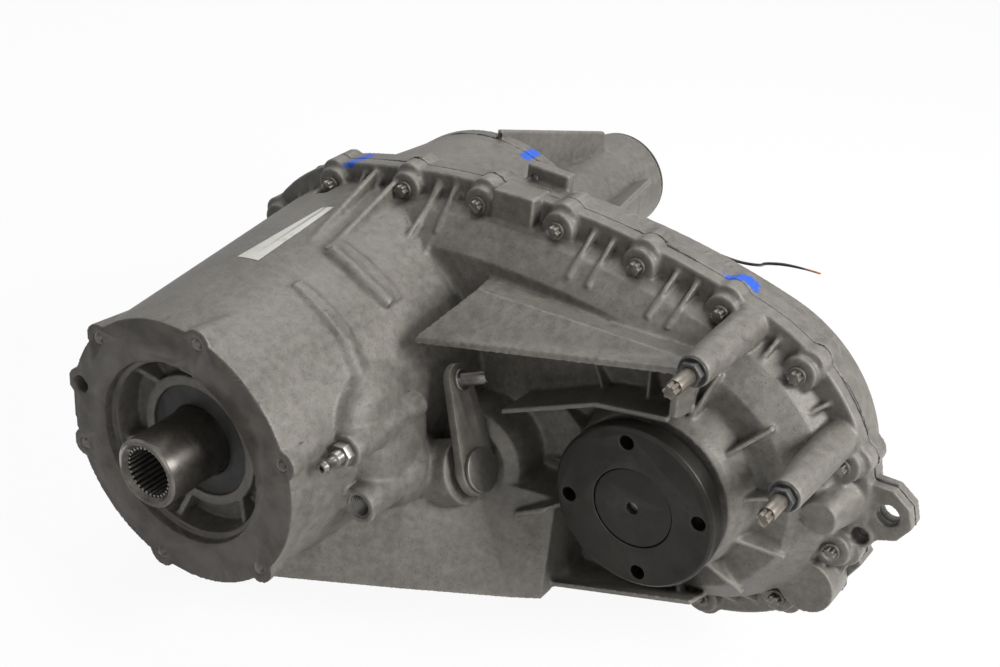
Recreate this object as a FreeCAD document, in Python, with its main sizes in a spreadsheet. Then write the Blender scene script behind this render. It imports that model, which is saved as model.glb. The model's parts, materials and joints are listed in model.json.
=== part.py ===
import FreeCAD, Part
import math
import os
import re
import Sketcher
from FreeCAD import Vector

# Chain-drive transfer case with two ranges, in millimetres.
# Y runs rearwards along the main shaft, X runs from the main shaft to the front output, Z is up.
# The origin is the centre of the input flange's machined face.

os.makedirs("parts", exist_ok=True)
doc = FreeCAD.newDocument("TransferCase")

SIZES = {
    # Chain drive and the two shaft lines
    "chain_pitch": 12.7,
    "centre_pitches": 20.5,
    "sprocket_teeth": 36,
    "chain_station": 234,
    "chain_width": 34,
    "toe_depth": 6,
    "crotch_depth": 0.6,
    "link_back": 6,
    "tooth_gap": 0.45,
    # Fits and gaps
    "running_gap": 0.05,
    "part_gap": 0.3,
    # Input flange and snout
    "flange_pitch_circle": 182,
    "flange_hole_diameter": 8.6,
    "flange_hole_depth": 24,
    "flange_first_angle": 18.85,
    "flange_boss_radius": 10.5,
    "flange_boss_length": 34,
    "dowel_hole_radius": 6.2,
    "dowel_hole_reach": 89.15,
    "dowel_hole_angle": 168.6,
    "snout_front_cover": 3,
    "snout_rear_cover": 21.5,
    "pilot_radius": 65.7,
    "pilot_depth": 7,
    "recess_radius": 61.5,
    "web_station": 27,
    "web_thickness": 9,
    "hub_radius": 47.5,
    "hub_station": 19,
    "wall": 7,
    # Rim of the two half cases
    "rim_radius": 127,
    "rim_low_radius": 120,
    "rim_rise": 145,
    "rim_front_station": 221,
    "parting_station": 232,
    "rim_rear_station": 246,
    "bolt_inset": 13,
    "bolt_boss_radius": 12,
    "bolt_face_station": 213,
    "rear_boss_station": 252,
    "bolt_radius": 4,
    "bolt_head_radius": 5,
    "bolt_head_height": 7,
    "bolt_spacing": 62.7,
    "top_bolt_start": 17.2,
    "bottom_bolt_start": -25,
    "bolt_step_angle": 33.5,
    "output_bolt_angle": 54.8,
    "main_bolt_angle": 114.8,
    "main_bolt_step": 34.9,
    "fin_thickness": 3.2,
    "fin_spacing": 15,
    "fin_reach": 31,
    "sump_floor": -98,
    "sump_shoulder": -34,
    # Chain chamber
    "shoulder_inset": 14,
    "panel_inset": 40,
    "shoulder_station": 205,
    "panel_station": 188,
    "rear_panel_station": 298,
    "rear_shoulder_station": 284,
    # Front output
    "output_face_station": 139.7,
    "output_flange_diameter": 116.2,
    "output_flange_thickness": 14.3,
    "output_pitch_circle": 95.25,
    "output_hole_diameter": 10.2,
    "output_first_angle": 12.45,
    "output_cap_radius": 28.6,
    "output_cap_hole": 4.2,
    "output_hub_radius": 26,
    "output_shaft_radius": 17.5,
    "seal_housing_radius": 60,
    "seal_housing_station": 163,
    # Bearings and seals
    "input_bearing_outer": 40,
    "input_bearing_bore": 25,
    "input_bearing_station": 36,
    "bearing_width": 17,
    "output_bearing_outer": 40,
    "output_bearing_bore": 20,
    "output_bearing_station": 180,
    "output_rear_outer": 31,
    "output_rear_bore": 15,
    "output_rear_station": 266,
    "output_rear_width": 16,
    "main_bearing_outer": 45,
    "main_bearing_bore": 21,
    "main_bearing_station": 337,
    "main_bearing_width": 19,
    "seal_width": 11,
    # Input shaft and planet set
    "input_shaft_radius": 24.45,
    "input_spline_radius": 18,
    "input_spline_teeth": 31,
    "input_spline_depth": 30,
    "input_front_station": -30,
    "gear_module": 3,
    "sun_teeth": 30,
    "planet_teeth": 12,
    "planet_count": 3,
    "gear_station": 74,
    "gear_width": 28,
    "gear_backlash": 0.36,
    "gear_root_gap": 0.8,
    "ring_outer_radius": 92,
    "planet_pin_radius": 7,
    "carrier_radius": 74,
    "carrier_plate": 6,
    # Main shaft and sleeves
    "main_shaft_radius": 18,
    "main_pilot_radius": 11,
    "main_shaft_end": 546,
    "range_groove_station": 127,
    "range_sleeve_radius": 46,
    "range_travel": 12,
    "mode_groove_station": 190,
    "mode_sleeve_radius": 52,
    "mode_travel": 10,
    "fork_thickness": 6,
    "groove_width": 7,
    "groove_depth": 6,
    "rail_x": 66,
    "rail_z": -56,
    "rail_radius": 7,
    "rail_front_station": 106,
    "rail_rear_station": 290,
    # Shift shaft and lever
    "shift_tilt": 28,
    "shift_x": 153,
    "shift_y": 130,
    "shift_z": -13,
    "shift_shaft_radius": 12.5,
    "shift_boss_radius": 23,
    "shift_boss_setback": 15,
    "lever_length": 62,
    "lever_lean": 12,
    "lever_thickness": 6,
    "lever_head_radius": 15.5,
    "lever_end_radius": 11.5,
    "lever_pin_radius": 4.6,
    "sector_setback": 74,
    "sector_radius": 45,
    "follower_drop": 16,
    "range_follower_lead": -3,
    "mode_follower_lead": -36,
    "detent_angle": 30,
    "shift_travel": 40,
    "follower_radius": 4,
    # Tail housing
    "tail_joint_station": 360,
    "tail_joint_radius": 107,
    "tail_flange": 11,
    "tail_ring_station": 533,
    "tail_end_station": 573,
    "tail_ring_radius": 43,
    "tail_root_radius": 74,
    "tail_bolt_circle": 194,
    "tail_bolt_count": 8,
    "tail_rib_count": 6,
    "bushing_radius": 25,
    "tail_rib_thickness": 4.5,
}

sheet = doc.addObject("Spreadsheet::Sheet", "Sizes")
for row, (alias, value) in enumerate(SIZES.items(), start=1):
    sheet.set(f"A{row}", alias)
    sheet.set(f"B{row}", str(value))
    sheet.setAlias(f"B{row}", alias)
doc.recompute()


class SheetValues:
    """The sheet's cells read by name."""

    def __getattr__(self, alias):
        return float(sheet.get(alias))


v = SheetValues()
NODES = []


def expression(text):
    """The text with every size name pointed at its cell."""
    return re.sub(r"[a-z_]\w*", lambda word: "Sizes." + word[0] if word[0] in SIZES else word[0], text)


def number(text):
    """The value of an expression made of size names."""
    return float(sheet.evalExpression(expression(text)))


def register(item, label):
    """Keep a finished sub-part, to be written under its label."""
    item.Label = label
    NODES.append(item)
    return item


# Helpers for sketched bodies


def origin_plane(body, role):
    """A body's own origin plane."""
    return next(feature for feature in body.Origin.OriginFeatures if feature.Role == role)


def new_body(label, at_output=False):
    """A body on the main line, or on the front output line."""
    body = doc.addObject("PartDesign::Body", label)
    if at_output:
        body.setExpression("Placement.Base.x", expression("chain_pitch * centre_pitches"))
    return register(body, label)


def new_sketch(body, name, role):
    """A sketch on one of the body's origin planes."""
    sketch = body.newObject("Sketcher::SketchObject", name)
    sketch.AttachmentSupport = [(origin_plane(body, role), "")]
    sketch.MapMode = "FlatFace"
    return sketch


def add_outline(sketch, points):
    """A closed outline whose corners are bound to pairs of expressions."""
    corners = [Vector(number(across), number(along), 0) for across, along in points]
    count = len(corners)
    first = sketch.GeometryCount
    lines = [Part.LineSegment(corners[i], corners[(i + 1) % count]) for i in range(count)]
    sketch.addGeometry(lines, False)
    for i in range(count):
        sketch.addConstraint(Sketcher.Constraint("Coincident", first + i, 2, first + (i + 1) % count, 1))
    for i, (across, along) in enumerate(points):
        for kind, text, value in (("DistanceX", across, corners[i].x), ("DistanceY", along, corners[i].y)):
            index = sketch.addConstraint(Sketcher.Constraint(kind, -1, 1, first + i, 1, value))
            sketch.setExpression(f"Constraints[{index}]", expression(text))


def add_circle(sketch, across, along, radius):
    """A circle with its centre and radius bound to expressions."""
    centre = Vector(number(across), number(along), 0)
    index = sketch.addGeometry(Part.Circle(centre, Vector(0, 0, 1), number(radius)), False)
    pairs = (("DistanceX", across, centre.x), ("DistanceY", along, centre.y))
    for kind, text, value in pairs:
        place = sketch.addConstraint(Sketcher.Constraint(kind, -1, 1, index, 3, value))
        sketch.setExpression(f"Constraints[{place}]", expression(text))
    place = sketch.addConstraint(Sketcher.Constraint("Radius", index, number(radius)))
    sketch.setExpression(f"Constraints[{place}]", expression(radius))


def turned(label, points, at_output=False):
    """A body turned about the Y axis from (radius, station) pairs."""
    body = new_body(label, at_output)
    sketch = new_sketch(body, label + "_profile", "XY_Plane")
    add_outline(sketch, points)
    turn = body.newObject("PartDesign::Revolution", label + "_turn")
    turn.Profile = sketch
    turn.ReferenceAxis = (sketch, ["V_Axis"])
    turn.Angle = 360
    return body


def ring_profile(inner, outer, start, end):
    """The four corners of a plain ring's section."""
    return [(inner, start), (outer, start), (outer, end), (inner, end)]


def drill_pattern(body, label, across, along, radius, count):
    """Through holes along Y, repeated about the body's axis."""
    sketch = new_sketch(body, label + "_hole", "XZ_Plane")
    add_circle(sketch, across, along, radius)
    pocket = body.newObject("PartDesign::Pocket", label + "_cut")
    pocket.Profile = sketch
    pocket.Type = 1
    pocket.Midplane = True
    doc.recompute()
    pattern = body.newObject("PartDesign::PolarPattern", label + "_pattern")
    pattern.Originals = [pocket]
    pattern.Axis = (sketch, ["N_Axis"])
    pattern.Angle = 360
    if isinstance(count, str):
        pattern.setExpression("Occurrences", expression(count))
    else:
        pattern.Occurrences = count
    body.Tip = pattern
    return pattern


# Helpers for shapes made in code


def feature(label, shape):
    """A sub-part whose shape is worked out from the sheet's values."""
    item = doc.addObject("Part::Feature", label)
    item.Shape = shape
    item.Placement = FreeCAD.Placement()
    return register(item, label)


def cylinder(radius, start, end, x=0.0, z=0.0, end_radius=None):
    """A round bar along Y, or a cone when its end radius differs."""
    base = Vector(x, start, z)
    if end_radius is None or abs(end_radius - radius) < 1e-6:
        return Part.makeCylinder(radius, end - start, base, Vector(0, 1, 0))
    return Part.makeCone(radius, end_radius, end - start, base, Vector(0, 1, 0))


def tube(inner, outer, start, end, x=0.0, z=0.0):
    """A plain ring along Y."""
    return cylinder(outer, start, end, x, z).cut(cylinder(inner, start - 1, end + 1, x, z))


def revolve(points, x=0.0, z=0.0):
    """A solid turned about a line along Y from (radius, station) pairs."""
    corners = [Vector(x + radius, station, z) for radius, station in points]
    face = Part.Face(Part.makePolygon(corners + corners[:1]))
    return face.revolve(Vector(x, 0, z), Vector(0, 1, 0), 360)


def prism(corners, direction):
    """A closed outline of points swept along a direction."""
    face = Part.Face(Part.makePolygon(corners + corners[:1]))
    return face.extrude(direction)


centre_distance = v.chain_pitch * v.centre_pitches
half_distance = centre_distance / 2
bulge_radius = (half_distance ** 2 + v.rim_rise ** 2 - v.rim_radius ** 2) / (2 * (v.rim_rise - v.rim_radius))
bulge_drop = bulge_radius - v.rim_rise
bulge_reach = bulge_radius - v.rim_radius

# The lower right end is drawn with a smaller arc, so the lower long arc has its own centre
low_centre = centre_distance + v.rim_radius - v.rim_low_radius
low_reach = bulge_radius - v.rim_low_radius
low_middle = (low_centre ** 2 + bulge_reach ** 2 - low_reach ** 2) / (2 * low_centre)
low_drop = math.sqrt(bulge_reach ** 2 - low_middle ** 2)


def case_outline(inset, station):
    """The rim's outline, four tangent arcs round the two shaft lines, moved inwards by an inset."""
    main_radius = v.rim_radius - inset
    low_radius = v.rim_low_radius - inset
    wide_radius = bulge_radius - inset

    def point(x, z):
        return Vector(x, station, z)

    top_across = half_distance / bulge_reach
    top_rise = bulge_drop / bulge_reach
    main_top = point(-main_radius * top_across, main_radius * top_rise)
    output_top = point(centre_distance + main_radius * top_across, main_radius * top_rise)
    main_low = point(-main_radius * low_middle / bulge_reach, -main_radius * low_drop / bulge_reach)
    low_across = (low_centre - low_middle) / low_reach
    output_low = point(low_centre + low_radius * low_across, -low_radius * low_drop / low_reach)
    right = point(centre_distance + main_radius, 0)
    turn = math.radians(35)
    arcs = [
        Part.Arc(main_top, point(half_distance, wide_radius - bulge_drop), output_top),
        Part.Arc(output_top, point(centre_distance + main_radius * math.cos(turn), main_radius * math.sin(turn)), right),
        Part.Arc(right, point(low_centre + low_radius * math.cos(turn), -low_radius * math.sin(turn)), output_low),
        Part.Arc(output_low, point(low_middle, low_drop - wide_radius), main_low),
        Part.Arc(main_low, point(-main_radius, 0), main_top),
    ]
    return Part.Wire([arc.toShape() for arc in arcs])


def case_loft(sections):
    """A solid through outlines given as (inset, station) pairs."""
    return Part.makeLoft([case_outline(inset, station) for inset, station in sections], True, True)


def bulge_place(x, inset, side):
    """A place on the top or bottom long arc at a given x."""
    if side > 0:
        return x, math.sqrt((bulge_radius - inset) ** 2 - (x - half_distance) ** 2) - bulge_drop
    return x, low_drop - math.sqrt((bulge_radius - inset) ** 2 - (x - low_middle) ** 2)


def round_place(angle, inset, centre=0.0):
    """A place on one of the end arcs at a given angle."""
    lower = centre > 0 and angle < 0
    reach = (v.rim_low_radius if lower else v.rim_radius) - inset
    turn = math.radians(angle)
    return (low_centre if lower else centre) + reach * math.cos(turn), reach * math.sin(turn)


def rim_bolts():
    """The places of the rim bolts, in order round the rim."""
    inset = v.bolt_inset
    top = [bulge_place(v.top_bolt_start + i * v.bolt_spacing, inset, 1) for i in range(5)]
    bottom = [bulge_place(v.bottom_bolt_start + i * v.bolt_spacing, inset, -1) for i in range(6)]
    output_side = [
        round_place(v.output_bolt_angle - i * v.bolt_step_angle, inset, centre_distance) for i in range(4)
    ]
    main_side = [round_place(v.main_bolt_angle + i * v.main_bolt_step, inset) for i in range(4)]
    return top + output_side + bottom[::-1] + main_side[::-1]


RIM_BOLTS = rim_bolts()


def inward(x, z):
    """The direction from a place on the rim towards the inside of the case."""
    if x < 0 or x > centre_distance:
        middle = 0.0 if x < 0 else centre_distance
        pull = Vector(middle - x, 0, -z)
    elif z > 0:
        pull = Vector(half_distance - x, 0, -bulge_drop - z)
    else:
        pull = Vector(low_middle - x, 0, low_drop - z)
    return pull.normalize()


def gap_middles():
    """The middle of each gap between neighbouring rim bolts, moved out to the rim's edge."""
    places = []
    count = len(RIM_BOLTS)
    for i in range(count):
        first = RIM_BOLTS[i]
        second = RIM_BOLTS[(i + 1) % count]
        x = (first[0] + second[0]) / 2
        z = (first[1] + second[1]) / 2
        pull = inward(x, z)
        places.append(Vector(x, 0, z) - pull * v.bolt_inset)
    return places


def fin_pairs(edge_station, foot_station, skip=()):
    """Pairs of thin gussets between the rim and the chamber wall, one pair in each gap."""
    fins = []
    for index, middle in enumerate(gap_middles()):
        if index in skip:
            continue
        pull = inward(middle.x, middle.z)
        side = pull.cross(Vector(0, 1, 0))
        for sign in (-1, 1):
            start = middle + side * (sign * v.fin_spacing / 2 - v.fin_thickness / 2)
            near = start + pull * 3 + Vector(0, edge_station, 0)
            far = start + pull * v.fin_reach
            corners = [near, far + Vector(0, foot_station, 0), far + Vector(0, edge_station, 0)]
            fins.append(prism(corners, side * v.fin_thickness))
    return fins


def fuse_all(shapes):
    """One solid from overlapping shapes."""
    return shapes[0].multiFuse(shapes[1:]).removeSplitter()


def cut_all(shape, tools):
    """A shape with all the tools taken away."""
    return shape.cut(Part.makeCompound(tools))


# Directions of the tilted shift shaft, used by the case and the shift parts

shift_axis = Vector(math.cos(math.radians(v.shift_tilt)), 0, math.sin(math.radians(v.shift_tilt)))
shift_up = Vector(-shift_axis.z, 0, shift_axis.x)
shift_rear = Vector(0, 1, 0)
shift_face = Vector(v.shift_x, v.shift_y, v.shift_z)


def along_shift(setback):
    """A point on the shift shaft's line, measured inwards from its outer face."""
    return shift_face - shift_axis * setback


def shift_bar(radius, outer_setback, inner_setback):
    """A round bar on the shift shaft's line."""
    return Part.makeCylinder(radius, inner_setback - outer_setback, along_shift(inner_setback), shift_axis)


def shift_fan(radius, first, last, outer_setback, inner_setback):
    """A sector of a disc square to the shift shaft, its angles counted from straight down to the rear."""
    corners = [along_shift(inner_setback)]
    steps = 12
    for k in range(steps + 1):
        turn = math.radians(first + (last - first) * k / steps)
        ray = shift_up * -math.cos(turn) + shift_rear * math.sin(turn)
        corners.append(corners[0] + ray * (radius * 1.2))
    fan = prism(corners, shift_axis * (inner_setback - outer_setback))
    return shift_bar(radius, outer_setback, inner_setback).common(fan)


detent_turn = math.radians(v.detent_angle)
detent_line = shift_up * -math.cos(detent_turn) + shift_rear * math.sin(detent_turn)


# Front half case


def snout_radius(station):
    """The snout's outer radius at a station."""
    share = station / v.shoulder_station
    cover = v.snout_front_cover + (v.snout_rear_cover - v.snout_front_cover) * share
    return v.ring_outer_radius + cover


def flange_places():
    """The centres of the input flange's bolt holes."""
    places = []
    for i in range(6):
        turn = math.radians(v.flange_first_angle + 60 * i)
        places.append((v.flange_pitch_circle / 2 * math.cos(turn), v.flange_pitch_circle / 2 * math.sin(turn)))
    return places


dowel_turn = math.radians(v.dowel_hole_angle)
dowel_place = (v.dowel_hole_reach * math.cos(dowel_turn), v.dowel_hole_reach * math.sin(dowel_turn))


def snout_pad(start, end, first_angle, last_angle, proud):
    """A raised pad that follows the snout's surface for part of a turn."""
    base = snout_radius((start + end) / 2)
    corners = [Vector(base - 4, start, 0), Vector(base + proud, start, 0)]
    corners += [Vector(base + proud, end, 0), Vector(base - 4, end, 0)]
    face = Part.Face(Part.makePolygon(corners + corners[:1]))
    pad = face.revolve(Vector(0, 0, 0), Vector(0, 1, 0), -(last_angle - first_angle))
    pad.rotate(Vector(0, 0, 0), Vector(0, 1, 0), -first_angle)
    return pad


def front_case_solids():
    """The outer forms of the front half case."""
    solids = []
    rear_radius = snout_radius(v.shoulder_station)
    snout = [(0, 0), (snout_radius(0), 0), (rear_radius, v.shoulder_station)]
    snout += [(rear_radius, v.parting_station), (0, v.parting_station)]
    solids.append(revolve(snout))
    for x, z in flange_places():
        solids.append(cylinder(v.flange_boss_radius, 0, v.flange_boss_length, x, z, v.flange_boss_radius - 3))
    solids.append(cylinder(v.flange_boss_radius + 1, 0, 16, dowel_place[0], dowel_place[1]))
    solids.append(case_loft([(0, v.rim_front_station), (0, v.parting_station)]))
    solids.append(
        case_loft([
            (v.panel_inset, v.panel_station),
            (v.shoulder_inset + 8, v.shoulder_station),
            (v.shoulder_inset + 1, v.rim_front_station + 2),
        ])
    )
    for x, z in RIM_BOLTS:
        pull = inward(x, z)
        solids.append(cylinder(v.bolt_boss_radius, v.bolt_face_station, v.parting_station, x, z))
        bump = Vector(x, 0, z) - pull * 6
        solids.append(cylinder(11, v.rim_front_station - 2, v.parting_station, bump.x, bump.z))
    solids += fin_pairs(v.rim_front_station + 1, v.panel_station + 5, skip=(1,))
    solids.append(snout_pad(82, 90, 47, 76, 2.2))
    solids.append(snout_pad(126, 142, 50, 82, 2.6))
    return solids


def seal_housing():
    """The round boss that carries the front output's seal and bearing."""
    x = centre_distance
    points = [
        (0, v.seal_housing_station),
        (v.seal_housing_radius - 3, v.seal_housing_station),
        (v.seal_housing_radius, v.seal_housing_station + 4),
        (v.seal_housing_radius + 6, v.panel_station + 4),
        (0, v.panel_station + 4),
    ]
    solids = [revolve(points, x)]
    for i in range(12):
        turn = Vector(math.cos(math.radians(15 + 30 * i)), 0, math.sin(math.radians(15 + 30 * i)))
        side = turn.cross(Vector(0, 1, 0))
        foot = Vector(x, 0, 0) + turn * (v.seal_housing_radius - 6) - side * 1.5
        tip = Vector(x, 0, 0) + turn * (v.rim_radius - v.panel_inset + 6) - side * 1.5
        corners = [
            foot + Vector(0, v.seal_housing_station + 6, 0),
            tip + Vector(0, v.panel_station - 1.5, 0),
            tip + Vector(0, v.panel_station + 3, 0),
            foot + Vector(0, v.panel_station + 3, 0),
        ]
        solids.append(prism(corners, side * 3))
    return solids


def plate(corners, shift):
    """A plate with a folded outer face, its other face moved by a shift."""
    count = len(corners)
    far = [corner + shift for corner in corners]
    faces = []
    for side in (corners, far):
        for i in range(1, count - 1):
            faces.append(Part.Face(Part.makePolygon([side[0], side[i], side[i + 1], side[0]])))
    for i in range(count):
        j = (i + 1) % count
        faces.append(Part.Face(Part.makePolygon([corners[i], corners[j], far[j], far[i], corners[i]])))
    solid = Part.Solid(Part.Shell(faces))
    if solid.Volume < 0:
        solid.reverse()
    return solid


# Corners of the webs that brace the output end, and the plan of the sump's foot and shoulder
stud_places = {"upper": Vector(285, 145, 111), "lower": Vector(358, 140, 55.5)}
shelf_lip = [Vector(97, 120, 73), Vector(276, 150, 107)]
shelf_crest = [Vector(275, 162, 108), Vector(118, 159, 101)]
shelf_root = [Vector(275, 196, 96), Vector(106, 196, 92)]
sump_plan = [(40, 30), (58, 40), (125, 80), (189, 120), (206, 132), (206, 206), (-20, 206), (-20, 30)]
sump_crown = [(40, 46), (66, 60), (112, 96), (136, 146), (194, 160), (194, 206), (-20, 206), (-20, 46)]
sump_inner_floor = [(30, 66), (62, 66), (112, 92), (156, 128), (190, 150), (190, 204), (20, 204), (20, 66)]
sump_inner_crown = [(30, 66), (60, 76), (103, 108), (127, 158), (186, 172), (186, 204), (20, 204), (20, 66)]


def bracing():
    """The slanting shelf with its crest, the end wall, the lower webs and the sump."""
    down = Vector(0, 0, -5)
    solids = [plate([shelf_lip[0], shelf_lip[1], shelf_crest[0], shelf_crest[1]], down)]
    solids.append(plate([shelf_crest[1], shelf_crest[0], shelf_root[0], shelf_root[1]], down))
    end_wall = [Vector(270, 150, 103), Vector(270, 196, 90), Vector(270, 196, 56), Vector(270, 152, 69)]
    solids.append(prism(end_wall, Vector(5, 0, 0)))
    web = [(150, 24, 20), (219, 58.6, 54), (271, 69, 62)]
    for (x0, front0, back0), (x1, front1, back1) in zip(web, web[1:]):
        quad = [Vector(x0, 150, front0), Vector(x1, 150, front1), Vector(x1, 196, back1), Vector(x0, 196, back0)]
        solids.append(plate(quad, Vector(0, 0, -4)))
    ledge = [Vector(172.7, 142, -46), Vector(196, 142, -31), Vector(208, 158, -26), Vector(212, 196, -26)]
    ledge.append(Vector(172.7, 196, -50))
    solids.append(plate(ledge, Vector(0, 0, -4)))
    foot = [Vector(176, 140, -98), Vector(303, 160, -66), Vector(296, 204, -90), Vector(176, 206, -98)]
    solids.append(plate(foot, Vector(0, 0, -4)))
    lower = Part.makePolygon([Vector(x, y, v.sump_floor) for x, y in sump_plan + sump_plan[:1]])
    upper = Part.makePolygon([Vector(x, y, v.sump_shoulder) for x, y in sump_crown + sump_crown[:1]])
    solids.append(Part.makeLoft([lower, upper], True, True))
    return solids


def shift_housing():
    """The shift shaft's boss and the round housing behind it."""
    solids = [shift_bar(v.shift_boss_radius, v.shift_boss_setback, 62)]
    solids.append(cylinder(29, 151.8, 158, 128, -28, 37))
    solids.append(cylinder(37, 158, 196, 128, -28, 38))
    return solids


def small_bosses():
    """Bosses for the vent, the port, the studs, the pad, the lug and the hanger."""
    solids = [cylinder(11, 42, 118, 104, 26, 9)]
    solids.append(cylinder(13, 50, 120, 109, -19, 12))
    for place in stud_places.values():
        solids.append(cylinder(11, place.y, v.parting_station, place.x, place.z, 13.5))
    solids.append(cylinder(20, 207, v.parting_station, 361, -54))
    solids.append(cylinder(12, 192, v.parting_station, 365, 12, 22))
    block = [Vector(91, 211, 116), Vector(124, 211, 119), Vector(124, 211, 148), Vector(91, 211, 146)]
    solids.append(prism(block, Vector(0, v.parting_station - 211, 0)))
    ear = [
        Vector(366, 224, 36), Vector(384, 224, 30), Vector(399, 224, 31), Vector(412, 224, 22),
        Vector(416, 224, 9), Vector(408, 224, -4), Vector(396, 224, -9), Vector(388, 224, -20),
        Vector(374, 224, -24), Vector(360, 224, -20),
    ]
    solids.append(prism(ear, Vector(0, v.parting_station - 224, 0)))
    solids.append(cylinder(9, v.rim_front_station, v.parting_station, 385, -9))
    return solids


def front_case_cavities():
    """Everything that is hollow or drilled in the front half case."""
    web_rear = v.web_station + v.web_thickness
    ring_radius = v.ring_outer_radius + v.running_gap
    chamber = v.ring_outer_radius + 3
    tools = [cylinder(v.pilot_radius, -1, v.pilot_depth)]
    tools.append(tube(v.hub_radius, v.recess_radius, v.pilot_depth - 1, v.web_station))
    tools.append(cylinder(v.hub_radius + 1, -1, v.hub_station))
    tools.append(cylinder(v.input_bearing_outer + v.running_gap, v.hub_station - 1,
                          v.input_bearing_station + v.bearing_width))
    inside = [
        (0, v.input_bearing_station + v.bearing_width - 0.5),
        (v.input_bearing_outer - 3, v.input_bearing_station + v.bearing_width - 0.5),
        (v.input_bearing_outer - 3, v.input_bearing_station + v.bearing_width + 4),
        (v.hub_radius, v.input_bearing_station + v.bearing_width + 4),
        (v.hub_radius + 4, web_rear + 2),
        (v.ring_outer_radius - 8, web_rear + 2),
        (v.ring_outer_radius - 4, v.gear_station - 3),
        (v.ring_outer_radius - 4, v.gear_station),
        (ring_radius, v.gear_station),
        (ring_radius, v.gear_station + v.gear_width + 6),
        (chamber, v.gear_station + v.gear_width + 7),
        (snout_radius(v.shoulder_station) - 9.5, v.parting_station + 1),
        (0, v.parting_station + 1),
    ]
    tools.append(revolve(inside))
    tools.append(
        case_loft([
            (v.panel_inset + v.wall, v.panel_station + v.wall),
            (v.shoulder_inset + v.wall + 7, v.shoulder_station + v.wall),
            (v.shoulder_inset + v.wall + 3, v.parting_station + 1),
        ])
    )
    x = centre_distance
    tools.append(cylinder(v.output_bearing_outer - 4 + v.running_gap, v.seal_housing_station - 1,
                          v.output_bearing_station + 1, x))
    tools.append(cylinder(v.output_bearing_outer + v.running_gap, v.output_bearing_station,
                          v.panel_station + v.wall + 1, x))
    for px, pz in flange_places():
        tools.append(cylinder(v.flange_hole_diameter / 2, -1, v.flange_hole_depth, px, pz))
    tools.append(cylinder(v.dowel_hole_radius, -1, 17, dowel_place[0], dowel_place[1]))
    for px, pz in RIM_BOLTS:
        tools.append(cylinder(v.bolt_radius + 0.3, v.bolt_face_station - 1, v.parting_station + 1, px, pz))
    tools.append(shift_bar(v.shift_shaft_radius + v.running_gap, v.shift_boss_setback - 1, 100))
    tools.append(cylinder(3.3, 41, 70, 104, 26))
    tools.append(cylinder(8.5, 49, 76, 109, -19))
    for place in stud_places.values():
        tools.append(cylinder(4.3, place.y - 1, v.parting_station + 1, place.x, place.z))
    tools.append(cylinder(7.8, 222, v.parting_station + 1, 399, 12))
    tools.append(cylinder(6, 200, v.parting_station + 1, 385, -9))
    tools.append(shift_fan(v.sector_radius + 3, -50, 120, v.sector_setback - 4, v.sector_setback + 12))
    foot = along_shift(v.sector_setback + 30) + Vector(0, -16, 0)
    corners = [foot - shift_up * 2, foot - shift_up * 24]
    corners += [corner + Vector(0, 64, 0) for corner in reversed(corners)]
    tools.append(prism(corners, shift_axis * 20))
    tools.append(shift_bar(18, v.sector_setback - 4, v.sector_setback + 12))
    tools.append(cylinder(13.5, v.rail_front_station + 6.5, 200, v.rail_x, v.rail_z))
    for px, pz in RIM_BOLTS:
        tools.append(cylinder(8.4, v.shoulder_station - 8, v.bolt_face_station, px, pz))
    levels = ((sump_inner_floor, v.sump_floor + v.wall), (sump_inner_crown, v.sump_shoulder - 8))
    outlines = [
        Part.makePolygon([Vector(x, y, z) for x, y in corners + corners[:1]]) for corners, z in levels
    ]
    tools.append(Part.makeLoft(outlines, True, True).cut(cylinder(106, 0, 190)))
    tools += dowel_holes()
    return tools


def front_case():
    """The front half case."""
    solids = front_case_solids() + seal_housing() + bracing() + shift_housing() + small_bosses()
    outer = fuse_all(solids)
    body = cut_all(outer, front_case_cavities())
    extras = []
    for i in range(6):
        turn = math.radians(v.flange_first_angle + 60 * i)
        ray = Vector(math.cos(turn), 0, math.sin(turn))
        side = ray.cross(Vector(0, 1, 0))
        near = ray * (v.hub_radius - 1.5) - side * 2.2
        far = ray * (v.recess_radius + 1.5) - side * 2.2
        corners = [
            near + Vector(0, v.hub_station + 1, 0),
            far + Vector(0, v.pilot_depth + 3, 0),
            far + Vector(0, v.web_station + 1, 0),
            near + Vector(0, v.web_station + 1, 0),
        ]
        extras.append(prism(corners, side * 4.4))
    rail_seat = cylinder(v.rail_radius + 4, v.rail_front_station - 3, v.rail_front_station + 6, v.rail_x, v.rail_z)
    rail_hole = cylinder(v.rail_radius + 0.03, v.rail_front_station, 300, v.rail_x, v.rail_z)
    extras.append(rail_seat.cut(rail_hole))
    shaft_hole = shift_bar(v.shift_shaft_radius + v.running_gap, v.shift_boss_setback - 1, 100)
    extras.append(shift_bar(v.shift_boss_radius - 3, v.shift_boss_setback + 4, 66).cut(shaft_hole))
    centre = along_shift(v.sector_setback + 3)
    edge = v.sector_radius
    detent_boss = Part.makeCylinder(9.5, 17, centre + detent_line * (edge + 4), detent_line)
    detent_hole = Part.makeCylinder(4.05, 30, centre + detent_line * (edge - 2), detent_line)
    plug_hole = Part.makeCylinder(5.53, 12, centre + detent_line * (edge + 14), detent_line)
    extras.append(detent_boss)
    return cut_all(fuse_all([body] + extras), [detent_hole, plug_hole, rail_hole])


def socket_ring(count, reach, width, depth, start, end):
    """Teeth pointing inwards from a bore, as one group of blocks."""
    teeth = []
    for i in range(count):
        turn = 2 * math.pi * (i + 0.5) / count
        ray = Vector(math.cos(turn), 0, math.sin(turn))
        side = ray.cross(Vector(0, 1, 0))
        corner = ray * (reach - depth) - side * (width / 2) + Vector(0, start, 0)
        corners = [corner, corner + ray * (depth + 0.6), corner + ray * (depth + 0.6) + side * width]
        teeth.append(prism(corners + [corner + side * width], Vector(0, end - start, 0)))
    return teeth


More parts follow.
